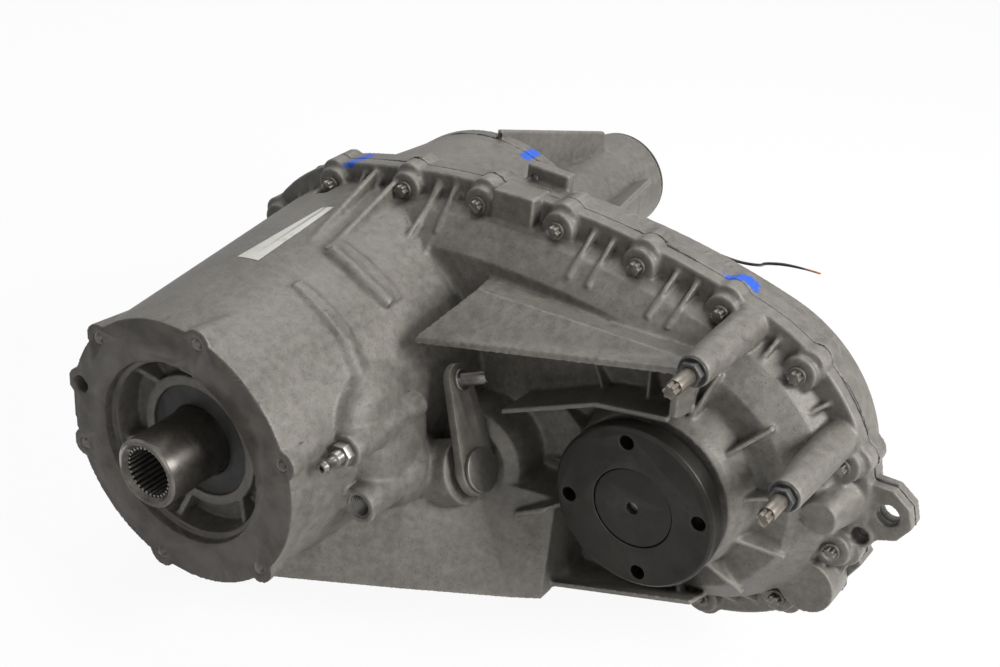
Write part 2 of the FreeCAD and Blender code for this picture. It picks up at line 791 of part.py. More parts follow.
def outer_teeth(count, reach, width, depth, start, end):
    """Teeth standing out of a shaft, as one group of blocks."""
    teeth = []
    for i in range(count):
        turn = 2 * math.pi * i / count
        ray = Vector(math.cos(turn), 0, math.sin(turn))
        side = ray.cross(Vector(0, 1, 0))
        corner = ray * (reach - 0.6) - side * (width / 2) + Vector(0, start, 0)
        corners = [corner, corner + ray * (depth + 0.6), corner + ray * (depth + 0.6) + side * width]
        teeth.append(prism(corners + [corner + side * width], Vector(0, end - start, 0)))
    return teeth


# Places shared by the two half cases


def tail_bolts():
    """The places of the bolts that hold the tail housing."""
    places = []
    for i in range(int(v.tail_bolt_count)):
        turn = 2 * math.pi * (i + 0.5) / v.tail_bolt_count
        places.append((v.tail_bolt_circle / 2 * math.cos(turn), v.tail_bolt_circle / 2 * math.sin(turn)))
    return places


plug_places = [Vector(205, 0, -62), Vector(205, 0, 14)]
switch_place = Vector(196, 0, 88)


def dowel_pin_places():
    """The places of the two pins that line up the half cases."""
    middles = gap_middles()
    places = []
    for index in (6, 16):
        middle = middles[index]
        pull = inward(middle.x, middle.z)
        places.append(middle + pull * 7)
    return places


def dowel_holes():
    """Blind holes for the locating pins, on both sides of the joint."""
    return [cylinder(3.03, 224.7, 241.3, place.x, place.z) for place in dowel_pin_places()]


front_shell = front_case()
feature("front_case", front_shell)


# Rear half case


def rear_fins():
    """Pairs of fins on the rear half, one pair in each gap between bolts."""
    fins = []
    for middle in gap_middles():
        pull = inward(middle.x, middle.z)
        side = pull.cross(Vector(0, 1, 0))
        for sign in (-1, 1):
            start = middle + side * (sign * v.fin_spacing / 2 - v.fin_thickness / 2) + pull * 2
            far = start + pull * 24
            corners = [
                start + Vector(0, v.rim_rear_station - 2, 0),
                start + pull * 4 + Vector(0, v.rim_rear_station + 4, 0),
                start + pull * 13 + Vector(0, v.rear_shoulder_station - 4, 0),
                far + Vector(0, v.rear_shoulder_station - 4, 0),
                far + Vector(0, v.rim_rear_station - 2, 0),
            ]
            fins.append(prism(corners, side * v.fin_thickness))
    return fins


def rear_case():
    """The rear half case with its hump for the tail housing."""
    solids = [case_loft([(0, v.parting_station), (0, v.rim_rear_station)])]
    solids.append(
        case_loft([
            (12, v.rim_rear_station - 1),
            (18, v.rear_shoulder_station),
            (34, v.rear_panel_station),
        ])
    )
    hump = [(0, 240), (116, 240), (111, 300), (107, v.tail_joint_station - 10)]
    hump += [(v.tail_joint_radius, v.tail_joint_station), (0, v.tail_joint_station)]
    solids.append(revolve(hump))
    for x, z in RIM_BOLTS:
        pull = inward(x, z)
        solids.append(cylinder(v.bolt_boss_radius, v.parting_station, v.rear_boss_station, x, z))
        bump = Vector(x, 0, z) - pull * 6
        solids.append(cylinder(11, v.parting_station, v.rim_rear_station, bump.x, bump.z))
    solids += rear_fins()
    ear = [
        Vector(360, v.parting_station, 36), Vector(384, v.parting_station, 30),
        Vector(399, v.parting_station, 31), Vector(412, v.parting_station, 22),
        Vector(416, v.parting_station, 9), Vector(408, v.parting_station, -4),
        Vector(396, v.parting_station, -9), Vector(388, v.parting_station, -20),
        Vector(372, v.parting_station, -24), Vector(360, v.parting_station, -20),
    ]
    solids.append(prism(ear, Vector(0, 8, 0)))
    solids.append(cylinder(9, v.parting_station, v.rim_rear_station, 385, -9))
    block = [Vector(381, 232, -30), Vector(388, 232, -38), Vector(372, 232, -68), Vector(358, 232, -60)]
    solids.append(prism(block, Vector(0, 22, 0)))
    tab = [Vector(97, 244, 128), Vector(130, 244, 128), Vector(130, 244, 156), Vector(97, 244, 156)]
    solids.append(prism(tab, Vector(0, 9, 0)))
    for x, z in tail_bolts():
        solids.append(cylinder(10, 330, v.tail_joint_station, x, z))
    for place in plug_places:
        solids.append(cylinder(17, 290, 303, place.x, place.z))
    solids.append(cylinder(14, 290, 301, switch_place.x, switch_place.z))
    outer = fuse_all(solids)
    tools = [
        case_loft([
            (v.shoulder_inset + 9, v.parting_station - 1),
            (v.shoulder_inset + 12, v.rear_shoulder_station - 5),
            (44, v.rear_panel_station - 7),
        ]),
        cylinder(104, v.parting_station - 1, 292, 0, 0, 100),
        cylinder(100, 291, 331, 0, 0, 96),
        cylinder(v.main_bearing_outer - 4, 325, 345),
        cylinder(v.main_bearing_outer + v.running_gap, v.main_bearing_station, v.tail_joint_station + 1),
    ]
    for x, z in RIM_BOLTS:
        tools.append(cylinder(v.bolt_radius + 0.1, v.parting_station - 1, v.rim_rear_station, x, z))
    for x, z in tail_bolts():
        tools.append(cylinder(v.bolt_radius + 0.1, 340, v.tail_joint_station + 1, x, z))
    for place in plug_places:
        tools.append(cylinder(10.1, 285, 304, place.x, place.z))
    tools.append(cylinder(6.1, 285, 302, switch_place.x, switch_place.z))
    tools.append(cylinder(3, 243, 254, 103, 146))
    tools.append(cylinder(7.8, 231, 241, 399, 12))
    tools.append(cylinder(6, 231, 262, 385, -9))
    tools += dowel_holes()
    body = cut_all(outer, tools)
    bearing_seat = cylinder(38, 264, v.rear_panel_station - 2, centre_distance)
    bore = cylinder(v.output_rear_outer + v.running_gap, 263, 284, centre_distance)
    rail_post = cylinder(13, 282, v.rear_panel_station - 2, v.rail_x, v.rail_z)
    rail_bore = cylinder(v.rail_radius + 0.03, 281, v.rail_rear_station + 0.3, v.rail_x, v.rail_z)
    return fuse_all([body, bearing_seat.cut(bore), rail_post.cut(rail_bore)]).cut(bore)


rear_shell = rear_case()
feature("rear_case", rear_shell)


# Tail housing


def tail_housing():
    """The tapered housing behind the rear half, with its ribs and end ring."""
    joint = v.tail_joint_station
    end = v.tail_end_station
    ring = v.tail_ring_station
    points = [
        (0, joint),
        (v.tail_joint_radius, joint),
        (v.tail_joint_radius, joint + v.tail_flange),
        (v.tail_root_radius + 8, joint + v.tail_flange),
        (v.tail_root_radius - 2, joint + 18),
        (50, 470),
        (42, ring),
        (v.tail_ring_radius, ring),
        (v.tail_ring_radius, end),
        (0, end),
    ]
    solids = [revolve(points)]
    for i in range(int(v.tail_rib_count)):
        turn = math.radians(90 + 360 * i / v.tail_rib_count)
        ray = Vector(math.cos(turn), 0, math.sin(turn))
        side = ray.cross(Vector(0, 1, 0)) * v.tail_rib_thickness
        reach = 115 if i == 0 else v.tail_joint_radius - 1
        corners = [
            Vector(0, joint, 0) + ray * 40,
            Vector(0, joint, 0) + ray * reach,
            Vector(0, 524, 0) + ray * 62,
            Vector(0, 530, 0) + ray * 60,
            Vector(0, ring, 0) + ray * 41,
        ]
        corners = [corner - side / 2 for corner in corners]
        solids.append(prism(corners, side))
    for x, z in tail_bolts():
        solids.append(cylinder(10, joint, joint + v.tail_flange, x, z))
    outer = fuse_all(solids)
    inside = [
        (0, joint - 1),
        (v.main_bearing_outer + 12, joint - 1),
        (v.main_bearing_outer + 12, joint + 14),
        (42, 470),
        (35, 512),
        (v.bushing_radius + 6, 518),
        (v.bushing_radius + 5.02, 520),
        (v.bushing_radius + 5.02, 552),
        (36.02, 553),
        (36.02, end + 1),
        (0, end + 1),
    ]
    tools = [revolve(inside)]
    for x, z in tail_bolts():
        tools.append(cylinder(v.bolt_radius + 0.3, joint - 1, joint + v.tail_flange + 1, x, z))
    return cut_all(outer, tools)


feature("tail_housing", tail_housing())


# Fasteners


def flange_bolt(x, z, face, tip, towards_front=True):
    """A flanged bolt with a six-lobe head, along Y."""
    step = -1 if towards_front else 1
    shank_end = tip
    lobes = []
    head_far = face + step * v.bolt_head_height
    low, high = sorted((face + step * 1.8, head_far))
    for i in range(6):
        turn = math.radians(60 * i)
        reach = v.bolt_head_radius - 2
        lobes.append(cylinder(1.5, low, high, x + reach * math.cos(turn), z + reach * math.sin(turn)))
    low_flange, high_flange = sorted((face, face + step * 2))
    head = cylinder(v.bolt_head_radius - 1.7, low, high, x, z)
    flange = cylinder(v.bolt_head_radius + 1, low_flange, high_flange, x, z)
    low_shank, high_shank = sorted((face, shank_end))
    shank = cylinder(v.bolt_radius, low_shank, high_shank, x, z)
    return fuse_all([flange, head, shank] + lobes)


case_bolts = [flange_bolt(x, z, v.bolt_face_station, v.rim_rear_station - 3) for x, z in RIM_BOLTS]
feature("case_bolts", Part.makeCompound(case_bolts))

tail_fasteners = [
    flange_bolt(x, z, v.tail_joint_station + v.tail_flange, 342, towards_front=False)
    for x, z in tail_bolts()
]
feature("tail_bolts", Part.makeCompound(tail_fasteners))

pins = [cylinder(3, 225, 241, place.x, place.z) for place in dowel_pin_places()]
feature("case_dowels", Part.makeCompound(pins))


def stud(place):
    """A stud with a long shank in its boss and a six-lobe tip in front."""
    tip = cylinder(5.2, place.y - 24, place.y - 6, place.x, place.z)
    lobes = []
    for i in range(6):
        turn = math.radians(60 * i)
        dx = 3.1 * math.cos(turn)
        dz = 3.1 * math.sin(turn)
        lobes.append(cylinder(1.4, place.y - 31, place.y - 23, place.x + dx, place.z + dz))
    end = cylinder(3.3, place.y - 31, place.y - 23, place.x, place.z)
    shank = cylinder(4, place.y - 6.5, place.y + 60, place.x, place.z)
    return fuse_all([tip, end, shank] + lobes)


def stud_nut(place):
    """The flanged hexagon that clamps a stud against its boss."""
    corners = []
    for i in range(6):
        turn = math.radians(60 * i + 12)
        corners.append(Vector(place.x + 8.6 * math.cos(turn), place.y - 6, place.z + 8.6 * math.sin(turn)))
    hexagon = prism(corners, Vector(0, 5, 0))
    washer = cylinder(10, place.y - 1.6, place.y, place.x, place.z)
    hole = cylinder(4.03, place.y - 7, place.y + 1, place.x, place.z)
    return hexagon.fuse(washer).removeSplitter().cut(hole)


feature("case_studs", Part.makeCompound([stud(place) for place in stud_places.values()]))
feature("stud_nuts", Part.makeCompound([stud_nut(place) for place in stud_places.values()]))


def hexagon(x, z, radius, start, end, first=0.0):
    """A hexagonal bar along Y."""
    corners = []
    for i in range(6):
        turn = math.radians(60 * i + first)
        corners.append(Vector(x + radius * math.cos(turn), start, z + radius * math.sin(turn)))
    return prism(corners, Vector(0, end - start, 0))


vent = revolve([(0, 17.5), (3.2, 17.5), (4.4, 20.5), (3.3, 23), (3.3, 29), (5, 30), (5, 41.9), (3.2, 42),
                (3.2, 62), (0, 62)], 104, 26)
vent = vent.fuse(hexagon(104, 26, 8, 35.5, 42, 10)).removeSplitter().cut(cylinder(1.8, 16, 63, 104, 26))
feature("vent_fitting", vent)


def oil_plug(place):
    """A hexagon-headed plug in the rear wall."""
    body = cylinder(10, 289, 303, place.x, place.z)
    flange = cylinder(15, 303, 306, place.x, place.z)
    head = hexagon(place.x, place.z, 11, 305, 314)
    return fuse_all([body, flange, head])


feature("oil_plugs", Part.makeCompound([oil_plug(place) for place in plug_places]))

switch_body = fuse_all([
    cylinder(6, 288, 301.5, switch_place.x, switch_place.z),
    hexagon(switch_place.x, switch_place.z, 12, 301, 308),
    cylinder(9, 307, 322, switch_place.x, switch_place.z),
    cylinder(4.5, 321, 331, switch_place.x, switch_place.z),
])
feature("indicator_switch", switch_body.cut(cylinder(1.5, 326, 332, switch_place.x, switch_place.z)))


# Wire from the indicator switch, its straight runs joined by tangent arcs

wire_radius = 1.1
WIRE_POINTS = [
    (196.0, 327.0, 88.0),
    (196.3, 341.0, 86.5),
    (214.0, 358.0, 76.0),
    (236.0, 350.0, 84.0),
    (250.0, 318.0, 104.0),
    (274.0, 308.3, 115.0),
    (298.3, 298.0, 121.3),
]


def wire_path(points, share=0.45):
    """A line through the points, each corner rounded by an arc tangent to both runs."""
    places = [Vector(*point) for point in points]
    pieces = []
    last = places[0]
    for i in range(1, len(places) - 1):
        before = places[i - 1] - places[i]
        after = places[i + 1] - places[i]
        turn = math.pi - before.getAngle(after)
        reach = share * min(before.Length, after.Length)
        radius = reach / math.tan(turn / 2)
        enter = places[i] + before.normalize() * reach
        leave = places[i] + after.normalize() * reach
        bisector = (enter + leave) * 0.5 - places[i]
        centre = places[i] + bisector.normalize() * math.hypot(radius, reach)
        middle = centre + (places[i] - centre).normalize() * radius
        pieces.append(Part.LineSegment(last, enter).toShape())
        pieces.append(Part.Arc(enter, middle, leave).toShape())
        print("wire radius", i, round(radius, 2))
        last = leave
    pieces.append(Part.LineSegment(last, places[-1]).toShape())
    return Part.Wire(pieces)


path = wire_path(WIRE_POINTS)
start_direction = (Vector(*WIRE_POINTS[1]) - Vector(*WIRE_POINTS[0])).normalize()
circle = Part.Wire([Part.makeCircle(wire_radius, Vector(*WIRE_POINTS[0]), start_direction)])
wire_solid = path.makePipeShell([circle], True, False)
feature("switch_wire", wire_solid)
print("wire length", round(path.Length, 1))


# Bearings


def race_groove(pitch, ball, middle, x=0.0):
    """The round groove that the balls run in."""
    return Part.makeTorus(pitch, ball, Vector(x, middle, 0), Vector(0, 1, 0))


def bearing(label, bore, outer, station, width, count, x=0.0):
    """A ball bearing as three sub-parts: outer race, inner race, and the set of balls."""
    pitch = (bore + outer) / 2
    ball = (outer - bore) * 0.31
    middle = station + width / 2
    shoulder = ball * 0.55
    groove = race_groove(pitch, ball + v.running_gap, middle, x)
    outer_race = tube(pitch + shoulder, outer, station, station + width, x).cut(groove)
    inner_race = tube(bore, pitch - shoulder, station, station + width, x).cut(groove)
    balls = []
    for i in range(count):
        turn = 2 * math.pi * i / count
        balls.append(Part.makeSphere(ball, Vector(x + pitch * math.cos(turn), middle, pitch * math.sin(turn))))
    feature(label + "_outer_race", outer_race)
    feature(label + "_inner_race", inner_race)
    feature(label + "_balls", Part.makeCompound(balls))


bearing("input_bearing", v.input_bearing_bore, v.input_bearing_outer, v.input_bearing_station,
        v.bearing_width, 9)
bearing("output_bearing", v.output_bearing_bore, v.output_bearing_outer, v.output_bearing_station,
        v.bearing_width, 8, centre_distance)
bearing("main_bearing", v.main_bearing_bore, v.main_bearing_outer, v.main_bearing_station,
        v.main_bearing_width, 8)

turned("output_needle_bearing", ring_profile("output_rear_bore + running_gap", "output_rear_outer",
       "output_rear_station", "output_rear_station + output_rear_width"), at_output=True)


def seal_profile(shaft, housing, station):
    """A shaft seal's section: metal-backed ring, thin diaphragm and a lip by the shaft."""
    return [
        (f"{shaft} + running_gap", f"{station} + 1"),
        (f"{shaft} + 1.6", station),
        (f"{housing} - 4", station),
        (housing, f"{station}"),
        (housing, f"{station} + seal_width"),
        (f"{housing} - 1.5", f"{station} + seal_width"),
        (f"{housing} - 1.5", f"{station} + 3"),
        (f"{shaft} + 3.2", f"{station} + 3"),
        (f"{shaft} + 3.2", f"{station} + 6"),
        (f"{shaft} + running_gap", f"{station} + 5"),
    ]


turned("input_seal", seal_profile("input_shaft_radius", "input_bearing_outer", "hub_station + 2"))
turned("output_seal", seal_profile("output_hub_radius", "output_bearing_outer - 4", "seal_housing_station + 3"),
       at_output=True)
turned("tail_seal", [
    ("bushing_radius + 1.2", "554"), ("36", "554"), ("36", "tail_end_station + part_gap"),
    ("tail_ring_radius - 1", "tail_end_station + part_gap"), ("tail_ring_radius - 1", "tail_end_station + 4"),
    ("bushing_radius + 8", "tail_end_station + 4"), ("bushing_radius + 1.2", "tail_end_station - 2"),
])
turned("tail_bushing", ring_profile("bushing_radius", "bushing_radius + 5", "521", "551"))


# Input shaft and planet set


def gear_points(teeth, module, thickness, outward, profile):
    """Outline points of a spur gear whose flanks follow an involute of twenty degrees."""
    pitch = teeth * module / 2
    pressure = math.radians(20)
    base = pitch * math.cos(pressure)
    tip, root = profile
    half = thickness / (2 * pitch)
    spread = math.tan(pressure) - pressure
    flank = []
    radii = [max(root, base + 0.01) + (tip - max(root, base + 0.01)) * k / 3 for k in range(4)]
    for radius in radii:
        angle = math.acos(base / radius)
        turn = half + spread - (math.tan(angle) - angle)
        flank.append((radius, turn))
    if root < base:
        flank.insert(0, (root, flank[0][1] + 0.01))
    points = []
    for i in range(int(teeth)):
        middle = 2 * math.pi * i / teeth
        for radius, turn in flank:
            points.append((radius, middle - turn))
        for radius, turn in reversed(flank):
            points.append((radius, middle + turn))
    return points


def gear_face(points, station, turn=0.0, x=0.0, z=0.0):
    """A flat face bounded by outline points given as radius and angle."""
    corners = [
        Vector(x + radius * math.cos(angle + turn), station, z + radius * math.sin(angle + turn))
        for radius, angle in points
    ]
    return Part.Face(Part.makePolygon(corners + corners[:1]))


module = v.gear_module
tooth_space = math.pi * module / 2
sun_pitch = module * v.sun_teeth / 2
planet_pitch = module * v.planet_teeth / 2
ring_teeth = v.sun_teeth + 2 * v.planet_teeth
ring_pitch = module * ring_teeth / 2
addendum = 0.8 * module
tooth_thickness = tooth_space - v.gear_backlash / 2
dog_count = 12


def input_shaft():
    """The input shaft with its splined socket and the sun gear at its rear end."""
    front = v.input_front_station
    bearing_end = v.input_bearing_station + v.bearing_width
    rear = v.gear_station + v.gear_width
    points = [
        (0, front + v.input_spline_depth + 12),
        (v.input_spline_radius, front + v.input_spline_depth + 8),
        (v.input_spline_radius, front + 3),
        (v.input_spline_radius + 2.5, front),
        (v.input_shaft_radius - 1.5, front),
        (v.input_shaft_radius, front + 1.5),
        (v.input_shaft_radius, v.input_bearing_station - 1),
        (v.input_bearing_bore, v.input_bearing_station - 1),
        (v.input_bearing_bore, bearing_end),
        (29, bearing_end + 0.3),
        (29, 71),
        (36, v.gear_station),
        (36, rear - 2),
        (0, rear - 2),
    ]
    shaft = revolve(points)
    sun = gear_face(
        gear_points(v.sun_teeth, module, tooth_thickness, True,
                    (sun_pitch + addendum, sun_pitch - addendum - v.gear_root_gap)),
        v.gear_station,
    ).extrude(Vector(0, v.gear_width, 0))
    body = fuse_all([shaft, sun])
    body = body.cut(cylinder(36.4, 93, rear + 1))
    body = body.cut(cylinder(v.main_pilot_radius + v.running_gap, 58, rear + 1))
    teeth = socket_ring(dog_count, 36.4, 8, 3, 95, rear)
    spline = socket_ring(int(v.input_spline_teeth), v.input_spline_radius, 1.7, 1.6,
                         front + 3, front + v.input_spline_depth + 6)
    return fuse_all([body] + teeth + spline)


feature("input_shaft", input_shaft())


def planet(place_x, place_z, spin):
    """One planet gear, turned so that its teeth mesh."""
    points = gear_points(v.planet_teeth, module, tooth_thickness, True,
                         (planet_pitch + addendum, planet_pitch - addendum - v.gear_root_gap))
    face = gear_face(points, v.gear_station + 0.3, spin, place_x, place_z)
    solid = face.extrude(Vector(0, v.gear_width - 0.6, 0))
    hole = cylinder(v.planet_pin_radius + v.running_gap, 60, 120, place_x, place_z)
    return solid.cut(hole)


planet_orbit = sun_pitch + planet_pitch
planet_places = []
for index in range(int(v.planet_count)):
    orbit_turn = 2 * math.pi * index / v.planet_count + math.pi / 2
    planet_places.append((planet_orbit * math.cos(orbit_turn), planet_orbit * math.sin(orbit_turn), orbit_turn))

for index, (place_x, place_z, orbit_turn) in enumerate(planet_places, start=1):
    # The sun shows a tooth or a gap along this ray, the planet answers with the other one
    sun_phase = orbit_turn * v.sun_teeth
    spin = orbit_turn + math.pi + (math.pi - sun_phase) / v.planet_teeth
    feature(f"planet_{index}", planet(place_x, place_z, -spin + 2 * (orbit_turn + math.pi)))

ring_points = gear_points(ring_teeth, module, tooth_space + v.gear_backlash / 2, False,
                          (ring_pitch + addendum + v.gear_root_gap, ring_pitch - addendum))
ring_first = planet_places[0][2]
planet_first = -(ring_first + math.pi + (math.pi - ring_first * v.sun_teeth) / v.planet_teeth)
planet_first += 2 * (ring_first + math.pi)
outer_phase = (planet_first - ring_first) * v.planet_teeth
ring_turn = ring_first + outer_phase / ring_teeth
ring_cut = gear_face(ring_points, v.gear_station - 1, ring_turn).extrude(Vector(0, v.gear_width + 2, 0))
ring_blank = cylinder(v.ring_outer_radius, v.gear_station, v.gear_station + v.gear_width)
feature("ring_gear", ring_blank.cut(ring_cut))


def carrier():
    """The planet carrier: two plates joined by three bridges."""
    front = v.gear_station - 2 - v.carrier_plate
    rear = v.gear_station + v.gear_width + 2
    solids = [tube(32, v.carrier_radius, front, front + v.carrier_plate)]
    solids.append(tube(37, v.carrier_radius, rear, rear + v.carrier_plate))
    solids.append(tube(37, 43, rear, rear + v.carrier_plate + 5))
    for _, _, orbit in planet_places:
        corners = []
        for reach, swing in ((51, -15), (72, -17), (73.5, 0), (72, 17), (51, 15), (50, 0)):
            turn = orbit + math.pi / 3 + math.radians(swing)
            corners.append(Vector(reach * math.cos(turn), front + 1, reach * math.sin(turn)))
        solids.append(prism(corners, Vector(0, rear - front + 2, 0)))
    body = fuse_all(solids)
    holes = [cylinder(v.planet_pin_radius + 0.02, front - 1, rear + 20, x, z) for x, z, _ in planet_places]
    return cut_all(body, holes)


feature("planet_carrier", carrier())
pin_front = v.gear_station - 2 - v.carrier_plate
pin_rear = v.gear_station + v.gear_width + 2 + v.carrier_plate
planet_pins = [cylinder(v.planet_pin_radius, pin_front, pin_rear, x, z) for x, z, _ in planet_places]
feature("planet_pins", Part.makeCompound(planet_pins))


# Main shaft, sleeves and hub


def main_shaft():
    """The main shaft from its pilot in the input shaft to the splined rear end."""
    points = [
        (0, 60),
        (v.main_pilot_radius - 1, 60),
        (v.main_pilot_radius, 61),
        (v.main_pilot_radius, 103),
        (v.main_shaft_radius - 0.5, 103),
        (v.main_shaft_radius - 0.5, 112),
        (v.main_shaft_radius, 112),
        (v.main_shaft_radius, 166),
        (20, 166),
        (20, 205),
        (24, 205),
        (24, 254),
        (29, 254),
        (29, 259),
        (22, 259),
        (22, 336),
        (v.main_bearing_bore, 336),
        (v.main_bearing_bore, 370),
        (19, 370),
        (19, 428),
        (17.5, 430),
        (17.5, v.main_shaft_end - 1.5),
        (16, v.main_shaft_end),
        (0, v.main_shaft_end),
    ]
    shaft = revolve(points)
    teeth = outer_teeth(12, v.main_shaft_radius, 4, 2, 112, 164)
    teeth += outer_teeth(24, 17.5, 2, 1.8, 432, v.main_shaft_end - 3)
    return fuse_all([shaft] + teeth)


feature("main_shaft", main_shaft())


def range_sleeve():
    """The sliding sleeve that picks the direct or the reduced drive."""
    groove = v.range_groove_station
    points = [
        (20.4, 98), (31, 98), (31, 102), (30.5, 116), (v.range_sleeve_radius, 116),
        (v.range_sleeve_radius, groove - v.groove_width / 2),
        (v.range_sleeve_radius - v.groove_depth, groove - v.groove_width / 2),
        (v.range_sleeve_radius - v.groove_depth, groove + v.groove_width / 2),
        (v.range_sleeve_radius, groove + v.groove_width / 2),
        (v.range_sleeve_radius, 138), (20.4, 138),
    ]
    body = revolve(points)
    inner = tube(v.main_shaft_radius + v.running_gap * 2, 20.8, 118, 138)
    slots = outer_teeth(12, v.main_shaft_radius, 4.4, 2.3, 110, 150)
    body = fuse_all([body, inner.cut(Part.makeCompound(slots))])
    return fuse_all([body] + outer_teeth(dog_count, 31, 6.4, 4, 97, 102))


feature("range_sleeve", range_sleeve())

mode_inner = 41
hub = tube(20.02, mode_inner - 2.6, 183, 203)
hub_teeth = outer_teeth(dog_count, mode_inner - 2.6, 7, 2.2, 183, 203)
feature("mode_hub", fuse_all([hub] + hub_teeth))


def mode_sleeve():
    """The sliding sleeve that couples the chain drive to the main shaft."""
    groove = v.mode_groove_station
    points = [
        (mode_inner, 184), (v.mode_sleeve_radius, 184),
        (v.mode_sleeve_radius, groove - v.groove_width / 2),
        (v.mode_sleeve_radius - v.groove_depth, groove - v.groove_width / 2),
        (v.mode_sleeve_radius - v.groove_depth, groove + v.groove_width / 2),
        (v.mode_sleeve_radius, groove + v.groove_width / 2),
        (v.mode_sleeve_radius, 204), (mode_inner, 204),
    ]
    return fuse_all([revolve(points)] + socket_ring(dog_count, mode_inner, 8, 2, 184, 204))


feature("mode_sleeve", mode_sleeve())


# Chain drive


pitch_radius = v.chain_pitch / (2 * math.sin(math.pi / v.sprocket_teeth))
tooth_middle = pitch_radius * math.cos(math.pi / v.sprocket_teeth)
tip_radius = tooth_middle - v.toe_depth / 2


def sprocket(station, end, bore, hub_radius, x, turn):
    """A wide sprocket for a toothed chain."""
    points = []
    tip = tip_radius
    root = tooth_middle - v.toe_depth - 0.6
    tip_half = (0.14 * v.chain_pitch - v.tooth_gap) / tip
    root_half = (0.3 * v.chain_pitch - v.tooth_gap) / root
    for i in range(int(v.sprocket_teeth)):
        middle = 2 * math.pi * (i + 0.5) / v.sprocket_teeth
        points += [(root, middle - root_half), (tip, middle - tip_half)]
        points += [(tip, middle + tip_half), (root, middle + root_half)]
    rim = gear_face(points, station, turn, x).extrude(Vector(0, end - station, 0))
    grooves = [tube(hub_radius + 5, root - 7, station - 1, station + 8, x)]
    grooves.append(tube(hub_radius + 5, root - 7, end - 8, end + 1, x))
    return rim.cut(Part.makeCompound(grooves)).cut(cylinder(bore, station - 1, end + 1, x))


chain_start = v.chain_station - v.chain_width / 2
chain_end = v.chain_station + v.chain_width / 2
clutch = tube(24.05, mode_inner - 2.6, 206.5, chain_start + 1)
clutch_teeth = outer_teeth(dog_count, mode_inner - 2.6, 7, 2.2, 206.5, 213)
drive_wheel = sprocket(chain_start, chain_end, 24.05, 38, 0, math.pi / 2)
feature("drive_sprocket", fuse_all([drive_wheel, clutch] + clutch_teeth))
driven_wheel = sprocket(chain_start, chain_end, 24.02, 38, centre_distance, math.pi / 2 + math.pi / v.sprocket_teeth)
feature("driven_sprocket", driven_wheel)


def chain_pins():
    """The places of the chain's pins round both sprockets."""
    places = []
    half_teeth = int(v.sprocket_teeth / 2)
    step = 2 * math.pi / v.sprocket_teeth
    straight = int(math.floor(v.centre_pitches))
    for k in range(straight + 1):
        places.append((k * v.chain_pitch, pitch_radius))
    for k in range(half_teeth):
        turn = math.pi / 2 - step * (k + 0.5)
        places.append((centre_distance + pitch_radius * math.cos(turn), pitch_radius * math.sin(turn)))
    for k in range(straight + 1):
        places.append(((straight - k) * v.chain_pitch, -pitch_radius))
    for k in range(1, half_teeth):
        turn = -math.pi / 2 - step * k
        places.append((pitch_radius * math.cos(turn), pitch_radius * math.sin(turn)))
    return places


def chain():
    """The toothed chain as one closed band, its toes shortened where it runs round a sprocket."""
    places = chain_pins()
    inner = []
    outer = []
    count = len(places)
    for i in range(count):
        x0, z0 = places[i]
        x1, z1 = places[(i + 1) % count]
        along = Vector(x1 - x0, 0, z1 - z0)
        length = along.Length
        along.normalize()
        inwards = Vector(along.z, 0, -along.x)
        start = Vector(x0, chain_start + 0.5, z0)
        for share, depth in ((0.20, v.toe_depth), (0.36, v.crotch_depth), (0.64, v.crotch_depth),
                             (0.80, v.toe_depth)):
            inner.append(start + along * (share * length) + inwards * depth)
        for share, depth in ((0.0, v.link_back - 2), (0.14, v.link_back), (0.86, v.link_back)):
            outer.append(start + along * (share * length) - inwards * depth)
    outer_face = Part.Face(Part.makePolygon(outer + outer[:1]))
    inner_face = Part.Face(Part.makePolygon(inner + inner[:1]))
    band = outer_face.cut(inner_face).extrude(Vector(0, v.chain_width - 1, 0))
    wheels = [cylinder(tip_radius + 0.15, chain_start, chain_end, x) for x in (0, centre_distance)]
    return cut_all(band, wheels)


feature("drive_chain", chain())
print("chain links", len(chain_pins()))


# Front output shaft, flange and its fastening

turned("front_output_shaft", [
    ("0", "144.5"), ("9.5", "144.5"), ("10.9", "146"), ("10.9", "153.5"), ("15.9", "153.5"),
    ("15.9", "output_bearing_station"), ("output_bearing_bore", "output_bearing_station"),
    ("output_bearing_bore", "output_bearing_station + bearing_width"),
    ("29", "output_bearing_station + bearing_width + part_gap"), ("29", "216.5"), ("24", "216.5"),
    ("24", "256"), ("output_rear_bore", "257"), ("output_rear_bore", "283"), ("0", "283"),
], at_output=True)

flange_body = turned("front_output_flange", [
    ("16", "152.7"), ("output_cap_radius + 0.1", "152.7"), ("output_cap_radius + 0.1", "output_face_station"),
    ("output_flange_diameter / 2 - 2", "output_face_station"),
    ("output_flange_diameter / 2", "output_face_station + 2"),
    ("output_flange_diameter / 2", "output_face_station + output_flange_thickness - 1"),
    ("output_flange_diameter / 2 - 1", "output_face_station + output_flange_thickness"),
    ("36", "output_face_station + output_flange_thickness"),
    ("34", "output_face_station + output_flange_thickness + 2"),
    ("34", "seal_housing_station - 1"), ("output_hub_radius", "seal_housing_station - 1"),
    ("output_hub_radius", "output_bearing_station - 0.3"), ("16", "output_bearing_station - 0.3"),
], at_output=True)
drill_pattern(
    flange_body, "flange_bolt_hole",
    "output_pitch_circle / 2 * cos(output_first_angle)",
    "output_pitch_circle / 2 * sin(output_first_angle)",
    "output_hole_diameter / 2", 4,
)

